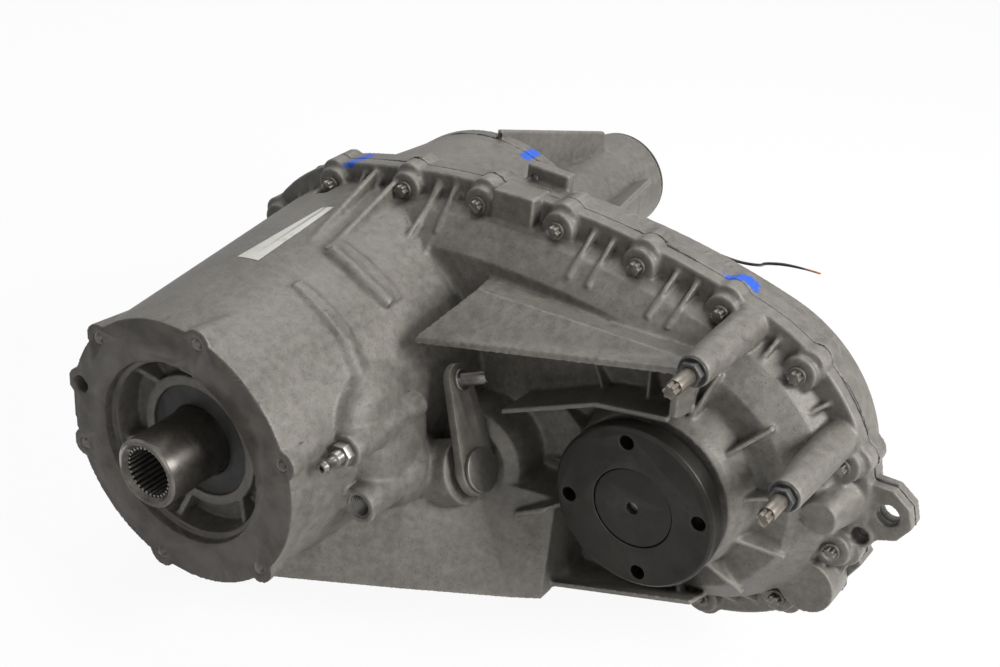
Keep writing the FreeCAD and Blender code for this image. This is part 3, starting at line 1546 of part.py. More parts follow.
turned("output_washer", ring_profile("11.1", "24", "150.7", "152.6"), at_output=True)
nut = hexagon(centre_distance, 0, 19, 143.7, 150.6)
feature("output_nut", nut.cut(cylinder(10.95, 140, 152, centre_distance)))
turned("output_cap", [
    ("output_cap_hole", "output_face_station + 0.5"), ("output_cap_radius - 1", "output_face_station + 0.5"),
    ("output_cap_radius", "output_face_station + 1.5"), ("output_cap_radius", "output_face_station + 3.5"),
    ("output_cap_hole", "output_face_station + 3.5"),
], at_output=True)


# Pump, pickup and tone wheel

turned("tone_wheel", ring_profile("main_bearing_bore + 0.02", "34", "362", "368"))
turned("oil_pump", [
    ("22.05 + running_gap", "313"), ("48", "313"), ("48", "318"), ("58", "318"), ("58", "330.7"),
    ("main_bearing_outer - 5", "330.7"), ("main_bearing_outer - 5", "327"), ("22.05 + running_gap", "327"),
])
pickup = fuse_all([
    Part.makeCylinder(6, 28, Vector(0, 323, -54), Vector(0, -0.35, -1)),
    Part.makeCylinder(12, 6, Vector(0, 314, -79), Vector(0, -0.35, -1)),
])
feature("pickup_tube", pickup.cut(cylinder(58.3, 312, 335)))
turned("oil_magnet", ring_profile("4", "9", "283", "291"))
NODES[-1].Placement.Base = Vector(150, 0, -72)


# Shift mechanism


def lever_outline(setback, thickness):
    """The lever plate: a tapered bar with two round ends."""
    lean = math.radians(v.lever_lean)
    along = shift_up * math.cos(lean) + shift_rear * math.sin(lean)
    across = shift_axis.cross(along)
    foot = along_shift(setback + thickness)
    head = v.lever_head_radius + 2
    tip = foot + along * v.lever_length
    slope = math.asin((head - v.lever_end_radius) / v.lever_length)
    corners = []
    for centre, radius in ((foot, head), (tip, v.lever_end_radius)):
        for sign in (-1, 1):
            ray = across * (sign * math.cos(slope)) + along * math.sin(slope)
            corners.append(centre + ray * radius)
    outline = [corners[0], corners[1], corners[3], corners[2]]
    plate_solid = prism(outline, shift_axis * thickness)
    ends = [
        Part.makeCylinder(head, thickness, foot, shift_axis),
        Part.makeCylinder(v.lever_end_radius, thickness, tip, shift_axis),
    ]
    return fuse_all([plate_solid] + ends), tip


lever_solid, lever_tip = lever_outline(3.5, v.lever_thickness)
lever_hole = shift_bar(9.02, 0, 20)
pin_hole = Part.makeCylinder(v.lever_pin_radius + 0.02, 30, lever_tip - shift_axis * 5, shift_axis)
feature("shift_lever", lever_solid.cut(lever_hole).cut(pin_hole))

pin_parts = [
    Part.makeCylinder(v.lever_pin_radius, v.lever_thickness + 1, lever_tip - shift_axis, shift_axis),
    Part.makeCylinder(7.5, 2.5, lever_tip + shift_axis * v.lever_thickness, shift_axis),
    Part.makeCylinder(v.lever_pin_radius, 20, lever_tip + shift_axis * v.lever_thickness, shift_axis),
    Part.makeCone(v.lever_pin_radius, 3.2, 3, lever_tip + shift_axis * (v.lever_thickness + 20), shift_axis),
]
feature("lever_pin", fuse_all(pin_parts))

shift_parts = [
    shift_bar(v.lever_head_radius, 0, 3.5),
    shift_bar(9, 3, 11),
    shift_bar(v.shift_shaft_radius, 11, v.sector_setback),
    shift_bar(9, v.sector_setback - 1, v.sector_setback + 6),
]
feature("shift_shaft", fuse_all(shift_parts))

sector_middle = v.sector_setback + 3
follower_line = {
    "range": (v.range_groove_station + v.range_follower_lead, v.range_travel),
    "mode": (v.mode_groove_station + v.mode_follower_lead, v.mode_travel),
}


def follower_point(station):
    """Where a fork's follower crosses the middle of the sector plate."""
    return along_shift(sector_middle) - shift_up * v.follower_drop + Vector(0, station - v.shift_y, 0)


def sector():
    """The cam plate with one slot for each fork's follower and notches on its edge."""
    plate_solid = shift_fan(v.sector_radius, -45, 75, v.sector_setback, v.sector_setback + 6)
    solid = plate_solid.fuse(shift_bar(16, v.sector_setback, v.sector_setback + 6)).removeSplitter()
    tools = [shift_bar(9.02, v.sector_setback - 1, v.sector_setback + 7)]
    for station, travel in follower_line.values():
        steps = 12
        for k in range(steps + 1):
            share = k / steps
            place = follower_point(station + travel * share) - shift_axis * 5
            slot = Part.makeCylinder(v.follower_radius + 0.4, 10, place, shift_axis)
            slot.rotate(shift_face, shift_axis, -v.shift_travel * share)
            tools.append(slot)
    for k in range(3):
        notch_place = along_shift(sector_middle) + detent_line * (v.sector_radius + 2) - shift_axis * 5
        notch = Part.makeCylinder(3, 10, notch_place, shift_axis)
        notch.rotate(shift_face, shift_axis, -v.shift_travel * k / 2)
        tools.append(notch)
    return solid.cut(tools[0].multiFuse(tools[1:]))


feature("shift_sector", sector())

turned("shift_rail", [("0", "rail_front_station"), ("rail_radius", "rail_front_station"),
                      ("rail_radius", "rail_rear_station"), ("0", "rail_rear_station")])
NODES[-1].setExpression("Placement.Base.x", expression("rail_x"))
NODES[-1].setExpression("Placement.Base.z", expression("rail_z"))


def fork(groove, ring_inner, ring_outer, hub_start, hub_end, follower_station):
    """A shift fork: hub on the rail, half ring in the sleeve's groove, follower in the sector."""
    half = v.fork_thickness / 2
    aim = math.atan2(v.rail_z, v.rail_x)
    ring = tube(ring_inner, ring_outer, groove - half, groove + half)
    ray = Vector(math.cos(aim), 0, math.sin(aim))
    side = ray.cross(Vector(0, 1, 0))
    back = ray * -200 - side * 100 + Vector(0, groove - half - 1, 0)
    far = ray * -6
    keep_corners = [
        Vector(0, groove - half - 1, 0) + far - side * 100,
        Vector(0, groove - half - 1, 0) + far + side * 100,
        back + side * 200,
        back,
    ]
    ring = ring.cut(prism(keep_corners, Vector(0, v.fork_thickness + 2, 0)))
    reach = math.hypot(v.rail_x, v.rail_z)
    arm_corners = [
        ray * (ring_inner + 3) - side * 20, ray * (reach - 4) - side * 9,
        ray * (reach - 4) + side * 9, ray * (ring_inner + 3) + side * 20,
    ]
    arm = prism([corner + Vector(0, groove - half, 0) for corner in arm_corners],
                Vector(0, v.fork_thickness, 0))
    arm = arm.cut(cylinder(ring_inner, groove - 20, groove + 20))
    hub_solid = cylinder(12, hub_start, hub_end, v.rail_x, v.rail_z)
    target = follower_point(follower_station)
    rail_point = Vector(v.rail_x, follower_station, v.rail_z)
    elbow = target + shift_axis * (rail_point - target).dot(shift_axis)
    link = (elbow - rail_point)
    link_side = shift_axis * 4
    arm_width = Vector(0, 4, 0)
    link_end = elbow + link * (4 / link.Length)
    link_corners = [rail_point - link_side - arm_width, link_end - link_side - arm_width]
    link_corners += [link_end + link_side - arm_width, rail_point + link_side - arm_width]
    link_solid = prism(link_corners, Vector(0, 8, 0))
    follower = Part.makeCylinder(v.follower_radius, (target - elbow).Length + 3, elbow, shift_axis)
    body = fuse_all([ring, arm, hub_solid, link_solid, follower])
    return body.cut(cylinder(v.rail_radius + v.running_gap, 90, 300, v.rail_x, v.rail_z))


feature("range_fork", fork(v.range_groove_station, v.range_sleeve_radius - v.groove_depth + 0.4, 55,
                           113.5, 136, follower_line["range"][0]))
feature("mode_fork", fork(v.mode_groove_station, v.mode_sleeve_radius - v.groove_depth + 0.4, 61,
                          149, 196, follower_line["mode"][0]))

detent_centre = along_shift(sector_middle)
edge = v.sector_radius
nose_place = detent_centre + detent_line * (edge + 0.35)
nose = Part.makeCone(1.4, 3.8, 3, nose_place, detent_line)
shank = Part.makeCylinder(3.8, 4.9, nose_place + detent_line * 3, detent_line)
feature("detent_plunger", nose.fuse(shank))
coils = []
for index in range(4):
    middle = detent_centre + detent_line * (edge + 9.4 + 1.35 * index)
    coils.append(Part.makeTorus(3.1, 0.7, middle, detent_line))
feature("detent_spring", coils[0].multiFuse(coils[1:]))
plug_blank = Part.makeCylinder(5.5, 6, detent_centre + detent_line * (edge + 14.4), detent_line)
plug_socket = Part.makeCylinder(2.6, 4, detent_centre + detent_line * (edge + 17.5), detent_line)
feature("detent_plug", plug_blank.cut(plug_socket))


# Paper label on the snout

label_corners = [(-29, 90), (-11, 90), (-15, 175), (-23, 171)]
band = [Vector(snout_radius(85) + 0.02, 85, 0), Vector(snout_radius(85) + 0.27, 85, 0)]
band += [Vector(snout_radius(180) + 0.27, 180, 0), Vector(snout_radius(180) + 0.02, 180, 0)]
shell = Part.Face(Part.makePolygon(band + band[:1])).revolve(Vector(0, 0, 0), Vector(0, 1, 0), 360)
stamp = prism([Vector(x, y, 0) for x, y in label_corners], Vector(0, 0, 140))
feature("case_label", shell.common(stamp))


# Write every sub-part

doc.recompute()
faults = []
for item in NODES:
    states = [part for part in [item] + list(getattr(item, "Group", [])) if "Invalid" in part.State or "Error" in part.State]
    shape = item.Shape
    if states or shape.isNull() or not shape.isValid():
        faults.append(item.Label)
    shape.exportStep(f"parts/{item.Label}.step")
    box = shape.BoundBox
    print(item.Label, len(shape.Solids), len(shape.Faces), round(shape.Volume / 1000, 2),
          [round(value, 1) for value in (box.XMin, box.XMax, box.YMin, box.YMax, box.ZMin, box.ZMax)])
print("sub-parts", len(NODES), "faults", faults)
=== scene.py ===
"""Dresses the two-range transfer case: castings, machined parts, sealant, wire, light and camera."""

from __future__ import annotations

import json
import logging
import math
from dataclasses import dataclass
from enum import Enum

import bpy
import numpy as np
from mathutils import Matrix, Vector, noise

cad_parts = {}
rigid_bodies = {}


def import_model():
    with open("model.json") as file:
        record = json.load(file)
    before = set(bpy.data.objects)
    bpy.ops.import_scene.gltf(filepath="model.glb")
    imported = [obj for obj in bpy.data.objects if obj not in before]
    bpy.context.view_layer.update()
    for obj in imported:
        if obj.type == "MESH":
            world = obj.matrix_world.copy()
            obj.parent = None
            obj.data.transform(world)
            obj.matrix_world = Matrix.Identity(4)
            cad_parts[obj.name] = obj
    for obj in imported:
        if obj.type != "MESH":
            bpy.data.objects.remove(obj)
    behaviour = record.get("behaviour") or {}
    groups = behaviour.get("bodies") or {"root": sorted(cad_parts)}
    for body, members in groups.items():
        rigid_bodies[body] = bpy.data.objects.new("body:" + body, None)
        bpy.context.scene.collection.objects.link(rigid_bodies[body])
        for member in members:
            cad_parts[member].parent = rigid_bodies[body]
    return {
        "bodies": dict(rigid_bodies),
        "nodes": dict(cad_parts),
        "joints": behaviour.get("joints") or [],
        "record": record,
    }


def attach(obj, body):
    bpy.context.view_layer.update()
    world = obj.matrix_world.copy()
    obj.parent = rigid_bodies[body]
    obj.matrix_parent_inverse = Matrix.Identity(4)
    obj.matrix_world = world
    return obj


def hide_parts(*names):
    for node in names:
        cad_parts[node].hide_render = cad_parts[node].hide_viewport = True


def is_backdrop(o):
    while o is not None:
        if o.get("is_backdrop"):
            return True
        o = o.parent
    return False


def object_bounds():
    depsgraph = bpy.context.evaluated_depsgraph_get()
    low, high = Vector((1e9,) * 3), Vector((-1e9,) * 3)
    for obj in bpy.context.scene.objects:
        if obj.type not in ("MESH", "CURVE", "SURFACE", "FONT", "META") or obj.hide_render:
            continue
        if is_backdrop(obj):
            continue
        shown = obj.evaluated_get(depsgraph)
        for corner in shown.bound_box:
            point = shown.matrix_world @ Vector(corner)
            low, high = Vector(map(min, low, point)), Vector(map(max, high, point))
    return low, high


LOG = logging.getLogger("transfer_case")
MM = 0.001
PARTING = 232 * MM
TAIL_JOINT = 360 * MM
OUTPUT_X = 260.35 * MM

Colour = tuple[float, float, float]
Place = tuple[float, float, float]


def rgba(red: float, green: float, blue: float) -> tuple[float, float, float, float]:
    """Turn a screen colour of 0 to 255 into a linear colour with full cover."""
    linear = [((c / 255 + 0.055) / 1.055) ** 2.4 for c in (red, green, blue)]
    return (*linear, 1.0)


class Graph:
    """A shader node tree under construction."""

    def __init__(self, tree: bpy.types.NodeTree) -> None:
        """Keep the tree that the nodes go into."""
        self.tree = tree

    def node(self, kind: str, **settings: object) -> bpy.types.Node:
        """Add a shader node.

        Args:
            kind: The node's type, without the words ShaderNode.
            settings: Properties to set on it.

        Returns:
            The new node.
        """
        made = self.tree.nodes.new("ShaderNode" + kind)
        for name, value in settings.items():
            setattr(made, name, value)
        return made

    def feed(self, socket: bpy.types.NodeSocket, source: object) -> None:
        """Give a socket either another node's output or a plain value."""
        if isinstance(source, bpy.types.NodeSocket):
            self.tree.links.new(source, socket)
        else:
            socket.default_value = source

    def sum(self, operation: str, *sources: object, clamp: bool = False) -> bpy.types.NodeSocket:
        """Add a math node and return its result."""
        made = self.node("Math", operation=operation, use_clamp=clamp)
        for socket, source in zip(made.inputs, sources):
            self.feed(socket, source)
        return made.outputs[0]

    def vector(self, operation: str, *sources: object) -> bpy.types.Node:
        """Add a vector math node."""
        made = self.node("VectorMath", operation=operation)
        for socket, source in zip(made.inputs, sources):
            self.feed(socket, source)
        return made

    def blend(self, share: object, first: object, second: object) -> bpy.types.NodeSocket:
        """Mix two colours by a share."""
        made = self.node("Mix", data_type="RGBA")
        self.feed(made.inputs[0], share)
        self.feed(made.inputs[6], first)
        self.feed(made.inputs[7], second)
        return made.outputs[2]

    def noise(self, place: object, scale: object, detail: float = 3.0,
              rough: float = 0.55) -> bpy.types.NodeSocket:
        """Add a cloud pattern with about `scale` features in a metre."""
        made = self.node("TexNoise")
        self.feed(made.inputs["Vector"], place)
        self.feed(made.inputs["Scale"], scale)
        made.inputs["Detail"].default_value = detail
        made.inputs["Roughness"].default_value = rough
        return made.outputs["Fac"]

    def spread(self, source: object, low: float, high: float, to_low: float = 0.0,
               to_high: float = 1.0) -> bpy.types.NodeSocket:
        """Stretch a value from one range to another, held at its ends."""
        made = self.node("MapRange", clamp=True)
        for socket, value in zip(made.inputs, (source, low, high, to_low, to_high)):
            self.feed(socket, value)
        return made.outputs[0]

    def place(self) -> bpy.types.NodeSocket:
        """The point being shaded, in metres from the frame's origin."""
        return self.node("TexCoord").outputs["Object"]

    def axes(self, place: object) -> tuple[bpy.types.NodeSocket, ...]:
        """Split a point into its three distances."""
        made = self.node("SeparateXYZ")
        self.feed(made.inputs[0], place)
        return tuple(made.outputs)

    def length(self, across: object, up: object) -> bpy.types.NodeSocket:
        """The length of two distances at right angles."""
        squared = self.sum("MULTIPLY_ADD", across, across, self.sum("MULTIPLY", up, up))
        return self.sum("SQRT", squared)


class EffectGroup(Enum):
    """The shared effects, each a node group that is built once."""

    CAST_SKIN = "cast_skin"
    EDGE_WEAR_SHEEN_AND_CORNER_SHADE = "edge_wear_sheen_and_corner_shade"
    TURNED_LINES = "turned_lines"
    HANDLING = "handling"
    PAINT_STROKE = "paint_stroke"


def new_group(effect: EffectGroup, inputs: dict[str, object],
              outputs: dict[str, str]) -> tuple[Graph, dict, dict]:
    """Start a node group with named sockets.

    Args:
        effect: The effect that the group makes.
        inputs: Names and starting values of what goes in.
        outputs: Names and socket kinds of what comes out.

    Returns:
        The graph, its inputs by name and its output node's sockets by name.
    """
    tree = bpy.data.node_groups.new(effect.value, "ShaderNodeTree")
    for name, value in inputs.items():
        kind = "NodeSocketFloat"
        if isinstance(value, tuple):
            kind = "NodeSocketColor" if len(value) == 4 else "NodeSocketVector"
        tree.interface.new_socket(name, in_out="INPUT", socket_type=kind).default_value = value
    for name, kind in outputs.items():
        tree.interface.new_socket(name, in_out="OUTPUT", socket_type="NodeSocket" + kind)
    graph = Graph(tree)
    source = tree.nodes.new("NodeGroupInput")
    target = tree.nodes.new("NodeGroupOutput")
    return graph, {n: source.outputs[n] for n in inputs}, {n: target.inputs[n] for n in outputs}


def build_cast_skin() -> None:
    """Sand-cast skin: broad mottling, specks, fine sand grain and small pits."""
    graph, given, out = new_group(
        EffectGroup.CAST_SKIN,
        {
            "Body": (0.2, 0.2, 0.2, 1),
            "Pale": (0.3, 0.3, 0.3, 1),
            "Stain": (0.05, 0.05, 0.05, 1),
            "Mottle": 0.6,
        },
        {"Color": "Color", "Gloss": "Float", "Height": "Float"},
    )
    place = graph.place()
    broad = graph.spread(graph.noise(place, 22, 4), 0.34, 0.68)
    middle = graph.spread(graph.noise(place, 160, 5, 0.66), 0.34, 0.68)
    fine = graph.noise(place, 640, 3, 0.6)
    grain = graph.noise(place, 2300, 2, 0.7)
    mixed = graph.sum("MULTIPLY_ADD", broad, 0.18, graph.sum("MULTIPLY_ADD", middle, 0.40, 0.08))
    tone = graph.sum("MULTIPLY", mixed, given["Mottle"], clamp=True)
    colour = graph.blend(tone, given["Body"], given["Pale"])
    stain = graph.spread(graph.noise(place, 46, 7, 0.72), 0.57, 0.74, 0, 0.34)
    colour = graph.blend(stain, colour, given["Stain"])
    speck = graph.spread(fine, 0.55, 0.70, 0, 0.50)
    colour = graph.blend(speck, colour, given["Stain"])
    bright = graph.spread(grain, 0.58, 0.76, 0, 0.45)
    graph.feed(out["Color"], graph.blend(bright, colour, given["Pale"]))
    graph.feed(out["Gloss"], graph.spread(middle, 0, 1, -0.07, 0.08))
    pits = graph.spread(graph.noise(place, 1150, 2, 0.5), 0.30, 0.44, -1, 0)
    height = graph.sum("MULTIPLY_ADD", grain, 0.7, graph.sum("MULTIPLY", fine, 0.6))
    graph.feed(out["Height"], graph.sum("MULTIPLY_ADD", pits, 0.5, height))


def build_edge_wear_sheen_and_corner_shade() -> None:
    """Masks for rubbed outer edges, lightened as wear and as a painted highlight, and for painted shade in
    corners.
    """
    graph, given, out = new_group(
        EffectGroup.EDGE_WEAR_SHEEN_AND_CORNER_SHADE, {"Edge Gain": 1.0, "Corner Gain": 1.0}, {"Edge": "Float", "Corner": "Float"}
    )
    sharp = graph.node("NewGeometry").outputs["Pointiness"]
    ragged = graph.spread(graph.noise(graph.place(), 210, 4), 0.3, 0.7, 0.55, 1.2)
    # Edge: high pointiness, later lightened as rubbed wear plus a painted highlight.
    edge = graph.spread(sharp, 0.512, 0.58)
    # Corner: low pointiness, later darkened as painted shade in the hollows.
    corner = graph.spread(sharp, 0.490, 0.43)
    edge = graph.sum("MULTIPLY", graph.sum("MULTIPLY", edge, ragged), given["Edge Gain"], clamp=True)
    corner = graph.sum("MULTIPLY", graph.sum("MULTIPLY", corner, ragged), given["Corner Gain"], clamp=True)
    graph.feed(out["Edge"], edge)
    graph.feed(out["Corner"], corner)


def build_turned_lines() -> None:
    """Fine rings that a lathe leaves round an axis along Y."""
    graph, given, out = new_group(
        EffectGroup.TURNED_LINES,
        {"Axis": (0.0, 0.0, 0.0), "Lines": 9000.0},
        {"Height": "Float", "Shade": "Float"},
    )
    shifted = graph.vector("SUBTRACT", graph.place(), given["Axis"]).outputs[0]
    across, along, up = graph.axes(shifted)
    radius = graph.length(across, up)
    joined = graph.node("CombineXYZ")
    graph.feed(joined.inputs[0], graph.sum("MULTIPLY", radius, given["Lines"]))
    graph.feed(joined.inputs[1], graph.sum("MULTIPLY", along, given["Lines"]))
    rings = graph.noise(joined.outputs[0], 1.0, 2)
    wide = graph.noise(joined.outputs[0], 0.12, 2)
    graph.feed(out["Height"], rings)
    graph.feed(out["Shade"], graph.spread(graph.sum("ADD", rings, wide), 0.7, 1.3, -1, 1))


def build_handling() -> None:
    """Smears and spots of old oil on bare metal."""
    graph, given, out = new_group(
        EffectGroup.HANDLING, {"Scale": 60.0, "Cover": 0.5}, {"Smear": "Float", "Spot": "Float"}
    )
    place = graph.place()
    wide = graph.noise(place, given["Scale"], 5, 0.6)
    spots = graph.noise(place, graph.sum("MULTIPLY", given["Scale"], 7), 3, 0.5)
    graph.feed(out["Smear"], graph.sum("MULTIPLY", graph.spread(wide, 0.42, 0.66), given["Cover"]))
    graph.feed(out["Spot"], graph.sum("MULTIPLY", graph.spread(spots, 0.62, 0.7), given["Cover"]))


def build_paint_stroke() -> None:
    """A brushed mark with a ragged outline round a place on the surface."""
    graph, given, out = new_group(
        EffectGroup.PAINT_STROKE,
        {"Centre": (0.0, 0.0, 0.0), "Direction": (1.0, 0.0, 0.0), "Half Length": 0.01, "Half Width": 0.004},
        {"Mask": "Float"},
    )
    place = graph.place()
    offset = graph.vector("SUBTRACT", place, given["Centre"]).outputs[0]
    along = graph.vector("DOT_PRODUCT", offset, given["Direction"]).outputs["Value"]
    length = graph.vector("LENGTH", offset).outputs["Value"]
    side = graph.sum("SQRT", graph.sum("MAXIMUM", 0.0, graph.sum(
        "SUBTRACT", graph.sum("MULTIPLY", length, length), graph.sum("MULTIPLY", along, along))))
    ragged = graph.spread(graph.noise(place, 420, 4), 0.3, 0.7, -0.0022, 0.0022)
    inside_length = graph.sum("LESS_THAN", graph.sum("ADD", graph.sum("ABSOLUTE", along), ragged),
                              given["Half Length"])
    inside_width = graph.sum("LESS_THAN", graph.sum("ADD", side, ragged), given["Half Width"])
    graph.feed(out["Mask"], graph.sum("MULTIPLY", inside_length, inside_width))


def build_effects() -> None:
    """Build every shared effect once."""
    build_cast_skin()
    build_edge_wear_sheen_and_corner_shade()
    build_turned_lines()
    build_handling()
    build_paint_stroke()


class MaterialGraph(Graph):
    """A material's own tree, with its shader at the end."""

    def __init__(self, name: str) -> None:
        """Start a material with one Principled shader."""
        self.material = bpy.data.materials.new(name)
        self.material.use_nodes = True
        super().__init__(self.material.node_tree)
        self.shader = self.tree.nodes["Principled BSDF"]

    def effect(self, effect: EffectGroup, **values: object) -> bpy.types.Node:
        """Place a shared effect, with its values by socket name in lower case."""
        made = self.node("Group")
        made.node_tree = bpy.data.node_groups[effect.value]
        for name, value in values.items():
            self.feed(made.inputs[name.replace("_", " ").title()], value)
        return made

    def finish(self, colour: object, rough: object, metal: float, height: object = None,
               relief: float = 0.00005, gloss: float = 0.5) -> bpy.types.Material:
        """Wire the shader.

        Args:
            colour: Base colour or its source.
            rough: Roughness or its source.
            metal: Metallic share.
            height: Source of the surface relief.
            relief: Depth of the relief in metres.
            gloss: Specular level.

        Returns:
            The finished material.
        """
        self.feed(self.shader.inputs["Base Color"], colour)
        self.feed(self.shader.inputs["Roughness"], rough)
        self.shader.inputs["Metallic"].default_value = metal
        self.shader.inputs["Specular IOR Level"].default_value = gloss
        if height is not None:
            bump = self.node("Bump")
            bump.inputs["Strength"].default_value = 1.0
            bump.inputs["Distance"].default_value = relief
            self.feed(bump.inputs["Height"], height)
            self.feed(self.shader.inputs["Normal"], bump.outputs[0])
        return self.material


@dataclass(frozen=True)
class PaintMark:
    """A blue assembly mark brushed across a joint."""

    centre: Place
    direction: Place
    half_length: float
    half_width: float


PAINT_MARKS = (
    PaintMark((-0.0360, 0.2310, 0.1220), (0.27, 1.0, 0.05), 0.011, 0.0045),
    PaintMark((0.0290, 0.3610, 0.1030), (0.06, 1.0, 0.0), 0.010, 0.0045),
    PaintMark((0.2700, 0.2370, 0.1310), (0.90, 0.30, -0.30), 0.012, 0.0045),
)


@dataclass(frozen=True)
class CastFinish:
    """Bare cast aluminium with machined faces where the casting is cut."""

    name: str
    body: Colour = (80, 77, 72)
    # pale: lighter mottling and grain, and the painted highlight on edges.
    pale: Colour = (144, 140, 133)
    # stain: random stains, specks and oil smears, and the painted shade in corners.
    stain: Colour = (26, 24, 22)
    machined: Colour = (86, 81, 76)
    paint: Colour = (28, 84, 190)
    metal: float = 0.22
    rough: float = 0.47
    faces: tuple[tuple[float, float, float, float, float], ...] = ()

    def build(self) -> bpy.types.Material:
        """Make the material.

        Returns:
            The cast material, its machined zones given by station, tolerance, axis and reach.
        """
        graph = MaterialGraph(self.name)
        skin = graph.effect(EffectGroup.CAST_SKIN, body=rgba(*self.body), pale=rgba(*self.pale),
                            stain=rgba(*self.stain), mottle=0.85)
        wear_and_shade = graph.effect(EffectGroup.EDGE_WEAR_SHEEN_AND_CORNER_SHADE, edge_gain=1.0, corner_gain=1.3)
        # Painted shade: corners darkened towards the stain colour.
        colour = graph.blend(wear_and_shade.outputs["Corner"], skin.outputs["Color"], rgba(*self.stain))
        # Edges lightened towards the pale colour, as rubbed wear and as a painted highlight.
        colour = graph.blend(graph.sum("MULTIPLY", wear_and_shade.outputs["Edge"], 0.6), colour, rgba(*self.pale))
        rough = graph.sum("ADD", skin.outputs["Gloss"], self.rough)
        height = skin.outputs["Height"]
        place = graph.place()
        across, along, up = graph.axes(place)
        for station, tolerance, axis_x, axis_z, reach in self.faces:
            radius = graph.length(graph.sum("SUBTRACT", across, axis_x), graph.sum("SUBTRACT", up, axis_z))
            away = graph.sum("ABSOLUTE", graph.sum("SUBTRACT", along, station))
            near = graph.sum("LESS_THAN", away, tolerance)
            mask = graph.sum("MULTIPLY", near, graph.sum("LESS_THAN", radius, reach))
            lines = graph.effect(EffectGroup.TURNED_LINES, axis=(axis_x, 0.0, axis_z), lines=2600.0)
            smear = graph.effect(EffectGroup.HANDLING, scale=45.0, cover=0.5)
            cut = graph.blend(smear.outputs["Smear"], rgba(*self.machined), rgba(*self.stain))
            colour = graph.blend(mask, colour, cut)
            smooth = graph.sum("MULTIPLY_ADD", lines.outputs["Shade"], 0.03, 0.36)
            rough = graph.sum("ADD", graph.sum("MULTIPLY", rough, graph.sum("SUBTRACT", 1.0, mask)),
                              graph.sum("MULTIPLY", smooth, mask))
            flat = graph.sum("MULTIPLY", lines.outputs["Height"], 0.12)
            height = graph.sum("ADD", graph.sum("MULTIPLY", height, graph.sum("SUBTRACT", 1.0, mask)),
                               graph.sum("MULTIPLY", flat, mask))
        for mark in PAINT_MARKS:
            stroke = graph.effect(EffectGroup.PAINT_STROKE, centre=mark.centre,
                                  direction=tuple(Vector(mark.direction).normalized()),
                                  half_length=mark.half_length, half_width=mark.half_width)
            colour = graph.blend(stroke.outputs["Mask"], colour, rgba(*self.paint))
        return graph.finish(colour, rough, self.metal, height, 0.00016, 0.4)


@dataclass(frozen=True)
class MetalFinish:
    """Machined, forged or plated metal with lathe rings, smears, rubbed edges with a painted highlight, and
    painted shade in corners.
    """

    name: str
    body: Colour
    # Edge colour: rubbed wear and a painted highlight.
    worn_and_sheen: Colour
    metal: float = 0.85
    rough: float = 0.34
    axis: Place = (0.0, 0.0, 0.0)
    lines: float = 3000.0
    relief: float = 0.00003
    smear: float = 0.5
    sand: float = 0.0

    def build(self) -> bpy.types.Material:
        """Make the material and return it."""
        graph = MaterialGraph(self.name)
        lines = graph.effect(EffectGroup.TURNED_LINES, axis=self.axis, lines=self.lines)
        wear_and_shade = graph.effect(EffectGroup.EDGE_WEAR_SHEEN_AND_CORNER_SHADE, edge_gain=0.9, corner_gain=0.8)
        oil = graph.effect(EffectGroup.HANDLING, scale=70.0, cover=self.smear)
        # dark: oil smears and spots, and the painted shade in corners.
        dark = tuple(c * 0.45 for c in self.body)
        colour = graph.blend(oil.outputs["Smear"], rgba(*self.body), rgba(*dark))
        colour = graph.blend(oil.outputs["Spot"], colour, rgba(*dark))
        # Painted shade: corners darkened towards the dark colour.
        colour = graph.blend(wear_and_shade.outputs["Corner"], colour, rgba(*dark))
        # Edges lightened as rubbed wear and as a painted highlight.
        colour = graph.blend(wear_and_shade.outputs["Edge"], colour, rgba(*self.worn_and_sheen))
        rough = graph.sum("MULTIPLY_ADD", lines.outputs["Shade"], 0.035,
                          graph.sum("MULTIPLY_ADD", oil.outputs["Smear"], 0.14, self.rough))
        grain = graph.noise(graph.place(), 1900, 3, 0.6)
        height = graph.sum("ADD", graph.sum("MULTIPLY", lines.outputs["Height"], 1 - self.sand),
                           graph.sum("MULTIPLY", grain, self.sand * 2.5))
        return graph.finish(colour, rough, self.metal, height, self.relief)


@dataclass(frozen=True)
class SoftFinish:
    """Rubber, plastic, sealant or insulation."""

    name: str
    body: Colour
    pale: Colour
    rough: float = 0.55
    scale: float = 900.0
    relief: float = 0.00005

    def build(self) -> bpy.types.Material:
        """Make the material and return it."""
        graph = MaterialGraph(self.name)
        place = graph.place()
        dust = graph.spread(graph.noise(place, 55, 5, 0.65), 0.45, 0.75)
        grain = graph.noise(place, self.scale, 3, 0.6)
        colour = graph.blend(dust, rgba(*self.body), rgba(*self.pale))
        rough = graph.spread(graph.noise(place, 130, 4), 0.3, 0.7, self.rough - 0.08, self.rough + 0.1)
        return graph.finish(colour, rough, 0.0, grain, self.relief, 0.45)


@dataclass(frozen=True)
class PaperFinish:
    """A bare paper sticker, a little scuffed."""

    name: str
    body: Colour = (206, 205, 198)
    stain: Colour = (142, 137, 127)

    def build(self) -> bpy.types.Material:
        """Make the material and return it."""
        graph = MaterialGraph(self.name)
        place = graph.place()
        scuff = graph.spread(graph.noise(place, 90, 6, 0.7), 0.54, 0.74, 0, 0.5)
        colour = graph.blend(scuff, rgba(*self.body), rgba(*self.stain))
        fibre = graph.sum("MULTIPLY", graph.noise(place, 1500, 2), 0.2)
        wrinkle = graph.sum("ADD", graph.noise(place, 120, 3), fibre)
        return graph.finish(colour, 0.62, 0.0, wrinkle, 0.00012, 0.3)


